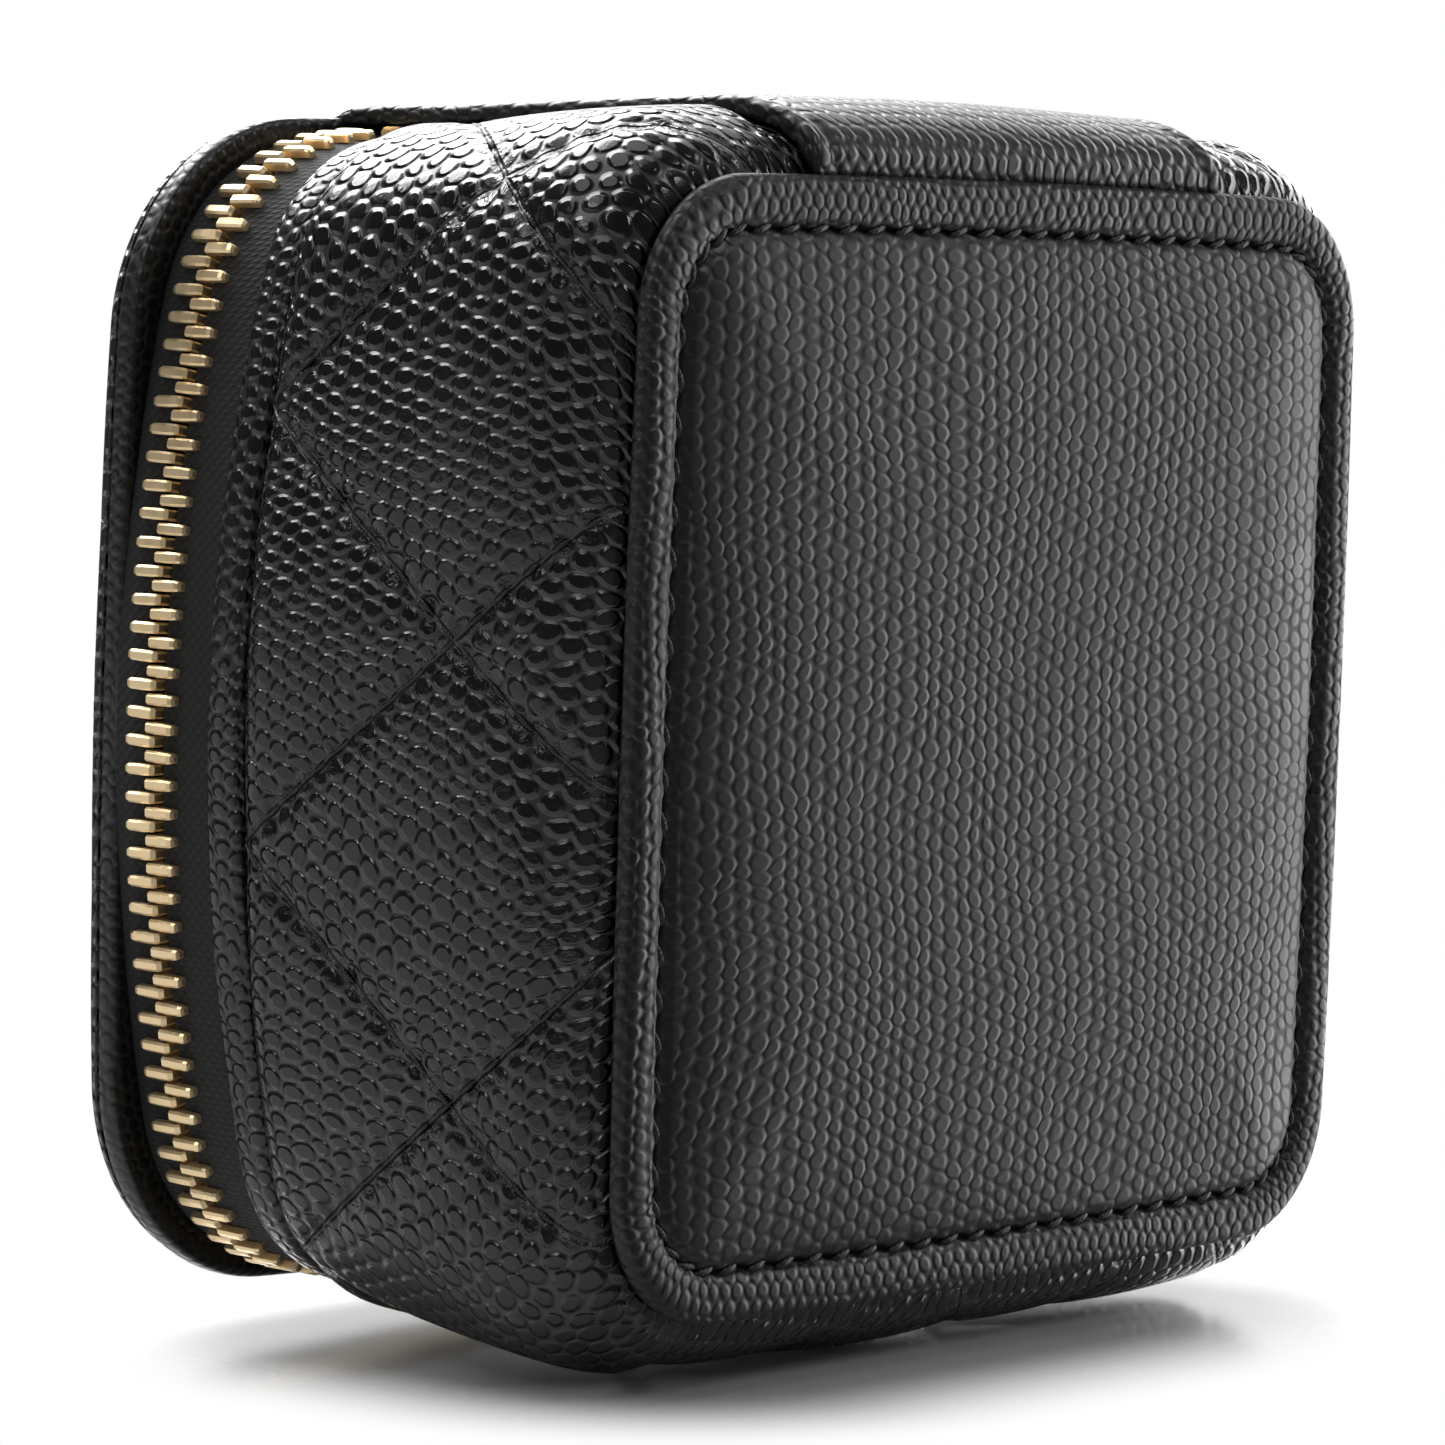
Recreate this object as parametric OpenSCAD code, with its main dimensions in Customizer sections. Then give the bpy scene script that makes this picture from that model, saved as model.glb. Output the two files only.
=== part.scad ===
// Quilted leather jewellery case: a square zipped box with a strap hinge, a mirrored lid and ring rolls.
// The case stands on its base. X runs side to side, the front is -Y, the hinge is +Y and the lid is up.

/* [Base] */
// Width of the base panel, side to side
base_w = 80; // [72:1:90]
// Depth of the base panel, front to back
base_d = 79; // [72:1:90]
// Corner radius of the base panel
base_corner = 10; // [8:0.5:13]
// Thickness of the leather covered base panel
base_t = 1.6; // [1.4:0.1:2.4]
// Width of the border outside the stitched groove
border_w = 3.4; // [2.5:0.1:5]
// Width of the stitched groove in the base panel
groove_w = 0.8; // [0.5:0.1:1.2]
// How far the padded middle of the base stands below its border
pad_drop = 0.3; // [0.1:0.1:0.6]

/* [Walls] */
// Height of the rim of the body above the resting face
rim_z = 37.2; // [32:0.2:48]
// How far the base panel stands out past the foot of the walls
tuck = 0.5; // [0.2:0.1:1]
// How far the padded sides swell out just above the base
bulge = 2.7; // [1.5:0.1:4]
// How far the padded front and back swell out just above the base
front_bulge = 4.5; // [2.5:0.1:5.5]
// How far the two sides lean out from base to rim, after the swelling
side_flare = 2.1; // [0.5:0.1:4]
// How far the front and back lean out from base to rim, after the swelling
front_flare = -0.3; // [-1:0.1:1]
// Corner radius at the rim
rim_corner = 13; // [9:0.5:15]
// How far the middle of each side bows out at the rim
rim_side_bow = 3.8; // [2:0.1:6]
// How far the middle of the front and back bow out at the rim
rim_front_bow = 1.9; // [0.6:0.1:4]
// Thickness of the turned band round the rim
welt_t = 1.4; // [1:0.1:1.6]
// Thickness of the quilted leather with its wadding
wall_t = 2.2; // [1.8:0.1:2.6]
// Height of the turned band round the rim
welt_h = 3.8; // [3:0.1:5]
// Number of quilted diamonds round the walls
diamonds = 10; // [6:1:14]
// Height of a quilted diamond, corner to corner
diamond_h = 38.6; // [28:0.2:48]
// How far the quilting stands out between its seams
quilt_puff = 0.9; // [0.3:0.1:1.2]
// Distance along the wall from the middle of the side to the first quilting crossing
quilt_shift = 7.1; // [-12:0.1:12]

/* [Boards and lining] */
// Thickness of the stiff boards
board_t = 1.4; // [1:0.1:1.8]
// Thickness of the lining
lining_t = 0.5; // [0.4:0.1:0.8]
// Free space left between layers
layer_gap = 0.15; // [0.1:0.01:0.2]

/* [Interior] */
// Height of the ring rolls above the lined floor
roll_h = 22; // [14:0.5:26]
// Thickness of the divider between the ring rolls and the open bay
divider_t = 1.6; // [1:0.1:3]
// Height of the divider above the lined floor
divider_h = 25; // [15:0.5:29]
// Distance of the divider's middle from the middle of the case
divider_y = 2; // [-6:0.5:6]
// Thickness of the padded floor in the open bay
pad_t = 1.5; // [1:0.1:3]

/* [Zip] */
// Height of the line where the two rows of teeth meet
zip_z = 42.8; // [42.6:0.1:42.9]
// How far the zip line stands in from the rim at the middle of the sides
zip_in_side = 1; // [0.8:0.1:1.5]
// How far the zip line stands in from the rim at the middle of the front
zip_in_front = 1; // [0.8:0.1:1.5]
// Corner radius of the zip line
zip_corner = 14.5; // [12:0.5:17]
// How far the middle of each side of the zip line bows out
zip_side_bow = 3; // [2:0.1:5]
// How far the middle of the front of the zip line bows out
zip_front_bow = 1.6; // [0.8:0.1:3]
// Distance between neighbouring teeth on one side
tooth_pitch = 2; // [1.8:0.05:2.6]
// Width of a tooth, along the zip
tooth_w = 0.78; // [0.5:0.02:0.84]
// Thickness of a tooth, through the tape
tooth_t = 2.1; // [1.6:0.1:2.4]
// How far a tooth reaches past the meeting line
tooth_head = 0.5; // [0.3:0.05:0.6]
// How far the legs of a tooth reach back over the tape
tooth_leg = 2.4; // [2:0.1:2.5]
// Thickness of the zip tape
tape_t = 0.6; // [0.4:0.05:0.7]
// How far the zip runs in under the strap
zip_under_strap = 1.6; // [0.5:0.1:3]

/* [Slider] */
// Length of the slider
slider_l = 9.5; // [8:0.1:11]
// Thickness of each plate of the slider
plate_t = 0.7; // [0.6:0.05:0.8]
// Free space between the slider and the teeth
slider_gap = 0.2; // [0.16:0.01:0.25]
// Thickness of the bar of the puller
puller_bar = 1.2; // [1:0.05:1.4]
// Length of the leather tab of the puller
tab_l = 16; // [10:0.5:20]
// Width of the leather tab of the puller
tab_w = 4.6; // [4:0.1:5.4]

/* [Lid] */
// Height of the edge where the lid's band meets its top
lid_edge_z = 48.9; // [48.8:0.1:54]
// Height of the underside of the lid's band
lid_under_z = 46.6; // [46.6:0.1:46.9]
// How far the lid stands in from the rim at the middle of the sides
lid_in_side = 0.7; // [0.5:0.1:0.7]
// How far the lid stands in from the rim at the middle of the front
lid_in_front = 0.2; // [0.1:0.1:0.7]
// Corner radius of the lid
lid_corner = 16; // [14:0.5:19]
// Bow of the lid's four sides
lid_bow = 0.5; // [0.3:0.1:1.5]
// Number of quilted diamonds across the lid
lid_diamonds = 3; // [2:1:5]
// Height of the middle of the lid above its edge
lid_rise = 6; // [3:0.2:9]
// Width of the mirror in the lid
mirror_w = 58; // [44:1:62]
// Thickness of the mirror in the lid
mirror_t = 1.2; // [0.8:0.1:1.4]
// Width of the leather frame round the mirror
frame_w = 3; // [2:0.2:5]

/* [Hinge strap] */
// Width of the hinge strap
strap_w = 45.4; // [36:0.2:50]
// Thickness of the hinge strap at the hinge
strap_t = 1.5; // [1.2:0.1:2]
// Split between the two lengths of the strap at the fold
strap_split = 0.2; // [0.1:0.05:0.3]

/* [Hidden] */
$fn = 64;

// How far up the wall a height lies, from 0 at the foot to 1 at the rim
function climb(z) = (z - base_t) / (rim_z - base_t);
// The swelling above the base is a quarter of an ellipse over the lowest share of the wall
side_swell = 0.36;
front_swell = 0.24;
foot_bow = 0.3;
function swelling(u, share) = sqrt(max(0, 1 - (1 - min(1, u / share)) ^ 2));
function wall_outline(z) = let (u = climb(z)) [
    base_w / 2 - tuck + bulge * swelling(u, side_swell) + side_flare * u,
    base_d / 2 - tuck + front_bulge * swelling(u, front_swell) + front_flare * u,
    base_corner + (rim_corner - base_corner) * u,
    foot_bow + (rim_side_bow - foot_bow) * u,
    foot_bow + (rim_front_bow - foot_bow) * u
];

// An outline is [half width, half depth, corner radius, bow of the sides, bow of front and back].
// It is eight arcs that run on into each other: four bowed sides and four corners.
base_outline = [base_w / 2, base_d / 2, base_corner, foot_bow, foot_bow];
rim_outline = wall_outline(rim_z);
zip_outline = [rim_outline[0] - zip_in_side, rim_outline[1] - zip_in_front, zip_corner, zip_side_bow, zip_front_bow];
lid_outline = [rim_outline[0] - lid_in_side, rim_outline[1] - lid_in_front, lid_corner, lid_bow, lid_bow];

function shrunk(o, inset) = [o[0] - inset, o[1] - inset, o[2] - inset, o[3], o[4]];
function corner_x(o) = o[0] - o[3] - o[2];
function corner_y(o) = o[1] - o[4] - o[2];
function side_radius(o) = o[3] / 2 + o[2] + corner_y(o) ^ 2 / (2 * o[3]);
function front_radius(o) = o[4] / 2 + o[2] + corner_x(o) ^ 2 / (2 * o[4]);
function side_angle(o) = asin(corner_y(o) / (side_radius(o) - o[2]));
function front_angle(o) = asin(corner_x(o) / (front_radius(o) - o[2]));

// The arcs of an outline from the middle of the front, by way of +X: [centre x, centre y, radius, from, to]
function arcs(o) = let (
    x = corner_x(o), y = corner_y(o), r = o[2],
    sr = side_radius(o), fr = front_radius(o), sa = side_angle(o), fa = front_angle(o)
) [
    [0, fr - o[1], fr, -90, fa - 90],
    [x, -y, r, fa - 90, -sa],
    [o[0] - sr, 0, sr, -sa, sa],
    [x, y, r, sa, 90 - fa],
    [0, o[1] - fr, fr, 90 - fa, 90 + fa],
    [-x, y, r, 90 + fa, 180 - sa],
    [sr - o[0], 0, sr, 180 - sa, 180 + sa],
    [-x, -y, r, 180 + sa, 270 - fa],
    [0, fr - o[1], fr, 270 - fa, 270]
];
function arc_length(a) = a[2] * (a[4] - a[3]) * PI / 180;
function length_before(list, count) = count == 0 ? 0 : arc_length(list[count - 1]) + length_before(list, count - 1);
function perimeter(o) = length_before(arcs(o), 9);

// Where a distance along the arcs leads: [centre x, centre y, radius, angle]
function walk(list, s, k = 0) =
    s <= arc_length(list[k]) || k == len(list) - 1
        ? [list[k][0], list[k][1], list[k][2], list[k][3] + s / list[k][2] * 180 / PI]
        : walk(list, s - arc_length(list[k]), k + 1);
function spot(w, out) = [w[0] + (w[2] + out) * cos(w[3]), w[1] + (w[2] + out) * sin(w[3])];

// The flat shape inside an outline: points on its arcs, close enough together to look round
corner_steps = 16;
side_steps = 12;
function outline_points(o) = [
    for (k = [0:8]) let (a = arcs(o)[k], steps = k % 2 == 1 ? corner_steps : k % 8 == 0 ? side_steps : 2 * side_steps)
        for (i = [0:steps - 1]) spot([a[0], a[1], a[2], a[3] + (a[4] - a[3]) * i / steps], 0)
];
module outline_shape(o) {
    polygon(outline_points(o));
}

// A flat layer of an outline, from one height to another
module layer(o, inset, from_z, to_z) {
    translate([0, 0, from_z]) linear_extrude(to_z - from_z) outline_shape(shrunk(o, inset));
}

// A band round an outline, from one height to another
module band(o, outer_inset, inner_inset, from_z, to_z) {
    translate([0, 0, from_z]) linear_extrude(to_z - from_z) difference() {
        outline_shape(shrunk(o, outer_inset));
        outline_shape(shrunk(o, inner_inset));
    }
}

// A closed skin over rings of points. With loop the last ring joins the first one, otherwise both ends are capped.
// On a quilted skin the four-sided patches are split along the seams of the quilting.
module skin(rings, loop, quilted = false) {
    n = len(rings[0]);
    count = len(rings);
    last = loop ? count - 1 : count - 2;
    patches = [
        for (k = [0:last], i = [0:n - 1]) let (
            a = k * n + i,
            b = (k + 1) % count * n + i,
            c = (k + 1) % count * n + (i + 1) % n,
            d = k * n + (i + 1) % n,
            rising = !quilted || k >= quilt_rows || quilt_rises(i, k)
        ) each rising ? [[a, b, c], [a, c, d]] : [[a, b, d], [b, c, d]]
    ];
    caps = loop ? [] : [[for (i = [0:n - 1]) i], [for (i = [n - 1:-1:0]) (count - 1) * n + i]];
    polyhedron([for (ring = rings) each ring], concat(patches, caps));
}

function raised(points, z) = [for (p = points) [p[0], p[1], z]];
function wall_ring(z, inset, n) = let (o = wall_outline(z), list = arcs(o), total = perimeter(o))
    raised([for (i = [0:n - 1]) spot(walk(list, total * i / n), -inset)], z);

// Layers of the walls, as distances in from the outside of the wall
board_in = wall_t + layer_gap;
lining_in = board_in + board_t + layer_gap;
inside_in = lining_in + lining_t;
welt_z = rim_z - welt_h;
flange_t = 0.8;
board_top = rim_z - flange_t;
floor_z = base_t + board_t + layer_gap + lining_t;
plain_steps = 72;

// The quilting grid: columns run round the wall and rows climb it. Six columns or rows lead from seam to seam,
// and the two lowest rows round the foot of the wall.
grid = 12;
columns = grid * diamonds;
row_h = diamond_h / grid;
quilt_rows = floor((welt_z - base_t - 1.8) / row_h) + 2;
function row_z(k) = k == 0 ? base_t : k == 1 ? base_t + 1 : welt_z - (quilt_rows - k) * row_h;
function quilt_rises(i, k) = (i % grid < grid / 2) != ((quilt_rows - k - 1) % grid < grid / 2);
// The puff is greatest in the middle of a diamond, and fades at the foot and under the strap
function puff(i, z) = let (across = i / grid, down = (welt_z - z) / diamond_h)
    quilt_puff * sqrt(abs(sin(180 * (across + down)) * sin(180 * (across - down))));
function fade(z, p) = p[1] > 0 && abs(p[0]) < strap_w / 2 + 2 ? 0 : min(1, (z - base_t) / 6);
function quilt_ring(z, inset, puffed) = let (
    list = arcs(wall_outline(z)), total = length_before(list, 9),
    side_middle = length_before(list, 2) + arc_length(list[2]) / 2,
    start = side_middle + quilt_shift - total / diamonds / 2
) [
    for (i = [0:columns - 1]) let (
        s = start + total * i / columns,
        w = walk(list, s > total ? s - total : s),
        p = spot(w, puffed ? fade(z, spot(w, 0)) * puff(i, z) : -inset)
    ) [p[0], p[1], z]
];

module base_panel() color("#2a2a2c") difference() {
    union() {
        layer(base_outline, 0, pad_drop + 0.3, base_t);
        layer(base_outline, 0.35, pad_drop, pad_drop + 0.5);
        layer(base_outline, border_w + groove_w / 2, 0, pad_drop + 0.5);
    }
    band(base_outline, border_w, border_w + groove_w, -1, pad_drop + 0.4);
}

board_steps = [base_t, base_t + 2, base_t + 6, base_t + 12, base_t + 24, board_top];
module body_board() color("#6f665a") {
    floor_top = base_t + board_t;
    outer = [for (z = board_steps) wall_ring(z, board_in, plain_steps)];
    inner = [for (k = [len(board_steps) - 1:-1:1]) wall_ring(board_steps[k], board_in + board_t, plain_steps)];
    foot = wall_ring(floor_top, board_in + board_t, plain_steps);
    skin(concat(outer, inner, [foot]), loop = false);
}

module quilted_wall() color("#1d1d1f") {
    inner_z = [welt_z, for (k = [len(board_steps) - 2:-1:0]) board_steps[k]];
    outer = [for (k = [0:quilt_rows]) quilt_ring(row_z(k), 0, true)];
    inner = [for (z = inner_z) quilt_ring(z, wall_t, false)];
    skin(concat(outer, inner), loop = true, quilted = true);
}

module rim_band() color("#202022") difference() {
    union() {
        layer(rim_outline, 0.5, welt_z, rim_z - 0.6);
        layer(rim_outline, 0, welt_z + groove_w, rim_z - 0.4);
        layer(rim_outline, 0.4, board_top, rim_z);
    }
    layer(rim_outline, welt_t, welt_z - 1, board_top);
    layer(rim_outline, inside_in, board_top - 1, rim_z + 1);
}

module body_lining() color("#3a3230") {
    steps = [for (z = board_steps) if (z > base_t) z];
    bottom = base_t + board_t + layer_gap;
    outer = [for (z = steps) wall_ring(z, lining_in, plain_steps)];
    inner = [for (k = [len(steps) - 1:-1:0]) wall_ring(steps[k], inside_in, plain_steps)];
    skin(concat(
        [wall_ring(bottom, lining_in, plain_steps)], [for (k = [1:len(steps) - 1]) outer[k]],
        [for (k = [0:len(steps) - 2]) inner[k]], [wall_ring(floor_z, inside_in, plain_steps)]
    ), loop = false);
}

// The space inside the lining at a height, and its half width at a distance in front of or behind the middle
function inside(z) = shrunk(wall_outline(z), inside_in);
function half_width(o, y) = let (past = abs(y) - corner_y(o), sr = side_radius(o))
    past > 0 ? corner_x(o) + sqrt(o[2] ^ 2 - past ^ 2) : o[0] - sr + sqrt(sr ^ 2 - y ^ 2);
fit_gap = 0.4;
roll_gap = 0.3;
bay_end = inside(floor_z)[1] - inside(floor_z)[4] - fit_gap;
divider_front = divider_y - divider_t / 2;
divider_back = divider_y + divider_t / 2;

module rounded_box(w, d, r) {
    square([w - 2 * r, d], center = true);
    square([w, d - 2 * r], center = true);
    for (sx = [-1, 1], sy = [-1, 1]) translate([sx * (w / 2 - r), sy * (d / 2 - r)]) circle(r);
}

module floor_pad() color("#463c39") {
    depth = divider_front - roll_gap + bay_end;
    width = 2 * (inside(floor_z)[0] - inside(floor_z)[3] - fit_gap);
    translate([0, depth / 2 - bay_end, floor_z]) linear_extrude(pad_t) rounded_box(width, depth, inside(floor_z)[2]);
}

module divider() color("#463c39") {
    heights = [for (share = [0, 0.08, 0.2, 0.4, 1]) floor_z + share * divider_h];
    right = [for (z = heights) [half_width(inside(z), divider_back) - fit_gap, z]];
    left = [for (k = [len(right) - 1:-1:0]) [-right[k][0], right[k][1]]];
    translate([0, divider_back, 0]) rotate([90, 0, 0]) linear_extrude(divider_t) polygon(concat(right, left));
}

// Each ring roll is a foam roll with a round top, standing on the floor behind the divider
roll_count = 3;
roll_d = (bay_end - divider_back - roll_count * roll_gap) / roll_count;
module ring_roll(k) color("#4c413e") {
    y = divider_back + roll_gap + roll_d / 2 + (k - 1) * (roll_d + roll_gap);
    far_side = y + roll_d / 2;
    half_l = min(half_width(inside(floor_z), far_side), half_width(inside(floor_z + roll_h), far_side)) - fit_gap;
    translate([0, y, floor_z]) rotate([90, 0, 90]) linear_extrude(2 * half_l, center = true) {
        translate([0, roll_h - roll_d / 2]) circle(roll_d / 2);
        translate([-roll_d / 2, 0]) square([roll_d, roll_h - roll_d / 2]);
    }
}

// The strap's inner face follows the back of the case, and its outer face fairs over the fold
wall_clear = 0.2;
fold_y = rim_outline[1] + wall_clear + strap_t;
strap_heights = [for (k = [0:quilt_rows]) row_z(k), rim_z];
function strap_inner(z) = wall_outline(z)[1] + wall_clear;
module strap_length(profile) {
    rotate([90, 0, 90]) linear_extrude(strap_w, center = true) polygon(profile);
}

module back_strap() color("#232325") {
    inner = [for (z = strap_heights) [strap_inner(z), z]];
    outer = [for (k = [len(strap_heights) - 1:-1:0]) [inner[k][0] + strap_t * (k == 0 ? 0.5 : 1), inner[k][1]]];
    fold = zip_z - strap_split / 2;
    strap_length(concat(inner, [[fold_y - strap_t, fold], [fold_y, fold]], outer));
}

module lid_strap() color("#232325") {
    fold = zip_z + strap_split / 2;
    lid_back = lid_outline[1] + wall_clear;
    end_z = lid_edge_z + strap_t * 0.4;
    strap_length([
        [fold_y, fold], [fold_y - strap_t, fold], [lid_back, lid_under_z], [lid_back, end_z],
        [lid_back + strap_t * 0.6, end_z], [lid_back + strap_t, end_z - strap_t * 0.8],
        [lid_back + strap_t, lid_under_z]
    ]);
}

// The zip runs from under one end of the strap, round the front, to the other end
zip_arcs = arcs(zip_outline);
zip_hidden = let (fr = front_radius(zip_outline)) fr * asin((strap_w / 2 - zip_under_strap) / fr) * PI / 180;
zip_half = perimeter(zip_outline) / 2 - zip_hidden;
tape_from = zip_z - 0.75;
tape_to = zip_z + 0.75;

// The two tapes are bands on the zip line, open at the back between the ends of the zip
module tape(from_z, to_z) {
    gap_w = strap_w - 2 * zip_under_strap;
    difference() {
        band(zip_outline, -tape_t / 2, tape_t / 2, from_z, to_z);
        translate([-gap_w / 2, 0, from_z - 1]) cube([gap_w, 2 * zip_outline[1], to_z - from_z + 2]);
    }
}

module body_zip_tape() color("#141414") tape(rim_z, tape_from);
module lid_zip_tape() color("#141414") tape(tape_to, lid_under_z);

// A clip is pressed over the edge of the tape. A tooth is a narrow one whose bevelled head passes the meeting line.
clip_clear = 0.05;
clip_slot = tape_t / 2 + clip_clear;
module clip(width, head) {
    half = tooth_t / 2;
    bevel = 0.35;
    slot_end = tape_from - zip_z + clip_clear;
    translate([0, width / 2, 0]) rotate([90, 0, 0]) linear_extrude(width) polygon([
        [-half, bevel - tooth_leg], [bevel - half, -tooth_leg], [-clip_slot, -tooth_leg], [-clip_slot, slot_end],
        [clip_slot, slot_end], [clip_slot, -tooth_leg], [half - bevel, -tooth_leg], [half, bevel - tooth_leg],
        [half, head - bevel], [half - bevel, head], [bevel - half, head], [-half, head - bevel]
    ]);
}

// Both rows stop where the closed slider stands, on the left side
total_zip = perimeter(zip_outline);
teeth_end = zip_half - 1;
side_arc = zip_arcs[6];
slider_half_angle = slider_l / 2 / side_arc[2] * 180 / PI;
closed_at = side_arc[3] + slider_half_angle + 0.6;
left_end = length_before(zip_arcs, 6) + side_arc[2] * (closed_at + slider_half_angle - side_arc[3]) * PI / 180;
module at_zip(s) {
    w = walk(zip_arcs, s < 0 ? s + total_zip : s);
    translate([w[0], w[1], zip_z]) rotate([0, 0, w[3]]) translate([w[2], 0, 0]) children();
}

// Teeth stand at every pitch along the zip line. The two rows are half a pitch apart, so they interlock.
module teeth(shift) {
    first = 1 - floor((total_zip - left_end) / tooth_pitch);
    last = floor(teeth_end / tooth_pitch) - 1;
    for (k = [first:last]) at_zip((k + shift) * tooth_pitch) clip(tooth_w, tooth_head);
}
module body_zip_teeth() color("#d9bd85") teeth(0);
module lid_zip_teeth() color("#d9bd85") translate([0, 0, 2 * zip_z]) mirror([0, 0, 1]) teeth(0.5);

// A stop is a wide clip, one at the start of the zip and one just past the closed slider
module zip_stops() color("#d9bd85") {
    stop_w = 1.8;
    for (s = [teeth_end, left_end - slider_l - 0.7 - stop_w / 2]) at_zip(s) clip(stop_w, -0.3);
}

// The slider lies on the left side. Its own X points out of the case and its own Y along the opening way.
module on_slider() {
    translate([side_arc[0], side_arc[1], zip_z]) rotate([0, 0, closed_at]) translate([side_arc[2], 0, 0])
        children();
}
cavity = tooth_t / 2 + slider_gap;
cheek = tooth_leg + slider_gap;
slider_half_w = cheek + plate_t;
shoulder = 0.3;
// The plate is wider at its shoulders, where the two rows of teeth come in
module slider_plate() {
    rotate([0, 90, 0]) linear_extrude(plate_t) polygon([
        [-slider_half_w, slider_l / 2 - 1], [-slider_half_w + 1, slider_l / 2],
        [slider_half_w - 1, slider_l / 2], [slider_half_w, slider_l / 2 - 1],
        [slider_half_w, -slider_l * 0.1], [slider_half_w + shoulder, -slider_l * 0.25],
        [slider_half_w + shoulder, -slider_l * 0.4], [slider_half_w - 0.6, -slider_l / 2],
        [-slider_half_w + 0.6, -slider_l / 2], [-slider_half_w - shoulder, -slider_l * 0.4],
        [-slider_half_w - shoulder, -slider_l * 0.25], [-slider_half_w, -slider_l * 0.1]
    ]);
}
pin_x = cavity + plate_t + puller_bar / 2 + 0.2;
bridge_t = 0.9;
bridge_w = 1.6;
module slider() color("#d9bd85") on_slider() {
    translate([cavity, 0, 0]) slider_plate();
    translate([-cavity - plate_t, 0, 0]) slider_plate();
    for (face = [-1, 1], edge = [-1, 1]) {
        translate([face > 0 ? tape_t / 2 + slider_gap : -cavity, -slider_l * 0.1, edge > 0 ? cheek : -cheek - plate_t])
            cube([cavity - tape_t / 2 - slider_gap, slider_l * 0.6 - 1, plate_t]);
    }
    translate([-cavity, -slider_l / 2 + 0.4, -0.5]) cube([2 * cavity, 1.8, 1]);
    bridge();
}

// The bridge is a low arch over the bar of the puller
module bridge() {
    clear = puller_bar + 0.4;
    span = slider_l * 0.46;
    translate([cavity + plate_t, 0, -bridge_w / 2]) linear_extrude(bridge_w) difference() {
        translate([0, -span / 2 - bridge_t]) square([clear + bridge_t, span + 2 * bridge_t]);
        translate([-clear, -span / 2]) square([2 * clear, span]);
    }
}

// The puller is a closed loop: a bar under the bridge, two arms and a bar that carries the leather tab
arm_l = 6.6;
arm_z = 1.2;
arm_t = 1;
module puller() color("#d9bd85") on_slider() translate([pin_x, 0, 0]) {
    for (y = [0, arm_l]) translate([0, y, 0]) cylinder(d = puller_bar, h = 2 * (arm_z + arm_t), center = true);
    for (z = [-arm_z - arm_t, arm_z]) translate([-puller_bar / 2, 0, z]) cube([puller_bar, arm_l, arm_t]);
}

// The tab's end is wrapped round the puller's bar
tab_clear = 0.05;
tab_wrap = 0.45;
module pull_tab() color("#232325") on_slider() translate([pin_x, arm_l, 0]) {
    hole = puller_bar / 2 + tab_clear;
    half = hole + tab_wrap;
    neck_l = tab_l / 8;
    linear_extrude(2 * (arm_z - tab_clear), center = true) difference() {
        union() {
            circle(half);
            translate([-half, 0]) square([2 * half, neck_l]);
        }
        circle(hole);
    }
    translate([-half, neck_l, 0]) rotate([0, 90, 0]) linear_extrude(2 * half) {
        translate([-tab_w / 2, 0]) square([tab_w, tab_l - tab_w / 2]);
        translate([0, tab_l - tab_w / 2]) circle(tab_w / 2);
    }
}

// The lid's top is a low dome. Its grid is spread between the four sides of the outline, and the seams of the
// quilting run along the diagonals of the grid.
lid_grid = 8;
lid_cells = lid_grid * lid_diamonds;
lid_turn = 0.4;
lid_arcs = arcs(lid_outline);
lid_round = perimeter(lid_outline);
// The edge of the dome in equal steps, from the front right corner
function lid_spot(k) = let (share = ((k + lid_cells / 2) / (4 * lid_cells) + 1) % 1)
    spot(walk(lid_arcs, lid_round * share), -lid_turn);
function on_lid(i, j) = let (n = lid_cells, u = i / n, v = j / n)
    (1 - v) * lid_spot(i - n) + v * lid_spot(2 * n - i) + (1 - u) * lid_spot(3 * n - j) + u * lid_spot(j)
    - (1 - u) * ((1 - v) * lid_spot(-n) + v * lid_spot(2 * n)) - u * ((1 - v) * lid_spot(0) + v * lid_spot(n));
function lid_puff(i, j) = quilt_puff * sqrt(abs(sin(180 * (i + j) / lid_grid) * sin(180 * (i - j) / lid_grid)));
function lid_swell(i, j) = let (
    u = 2 * i / lid_cells - 1, v = 2 * j / lid_cells - 1, share = (1 - abs(u) ^ 2.6) * (1 - abs(v) ^ 2.6)
) (lid_rise - quilt_puff) * sqrt(share) + lid_puff(i, j) * min(1, share * 4);
module lid_panel() color("#1d1d1f") {
    n = lid_cells;
    side = n + 1;
    top = [
        for (j = [0:n], i = [0:n]) let (p = on_lid(i, j)) [p[0], p[1], lid_edge_z + lid_turn / 2 + lid_swell(i, j)]
    ];
    border = [
        for (i = [0:n - 1]) i, for (j = [0:n - 1]) j * side + n,
        for (i = [n:-1:1]) n * side + i, for (j = [n:-1:1]) j * side
    ];
    count = len(border);
    foot = raised([for (k = border) top[k]], lid_edge_z);
    cells = [
        for (j = [0:n - 1], i = [0:n - 1]) let (
            a = j * side + i, b = a + 1, c = b + side, d = a + side,
            rising = (i % lid_grid < lid_grid / 2) == (j % lid_grid < lid_grid / 2)
        ) each rising ? [[a, c, b], [a, d, c]] : [[a, d, b], [b, d, c]]
    ];
    walls = [
        for (k = [0:count - 1]) let (
            a = border[k], b = border[(k + 1) % count], c = side * side + k, d = side * side + (k + 1) % count
        ) each [[a, b, d], [a, d, c]]
    ];
    polyhedron(concat(top, foot), concat(cells, walls, [[for (k = [0:count - 1]) side * side + k]]));
}

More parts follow.
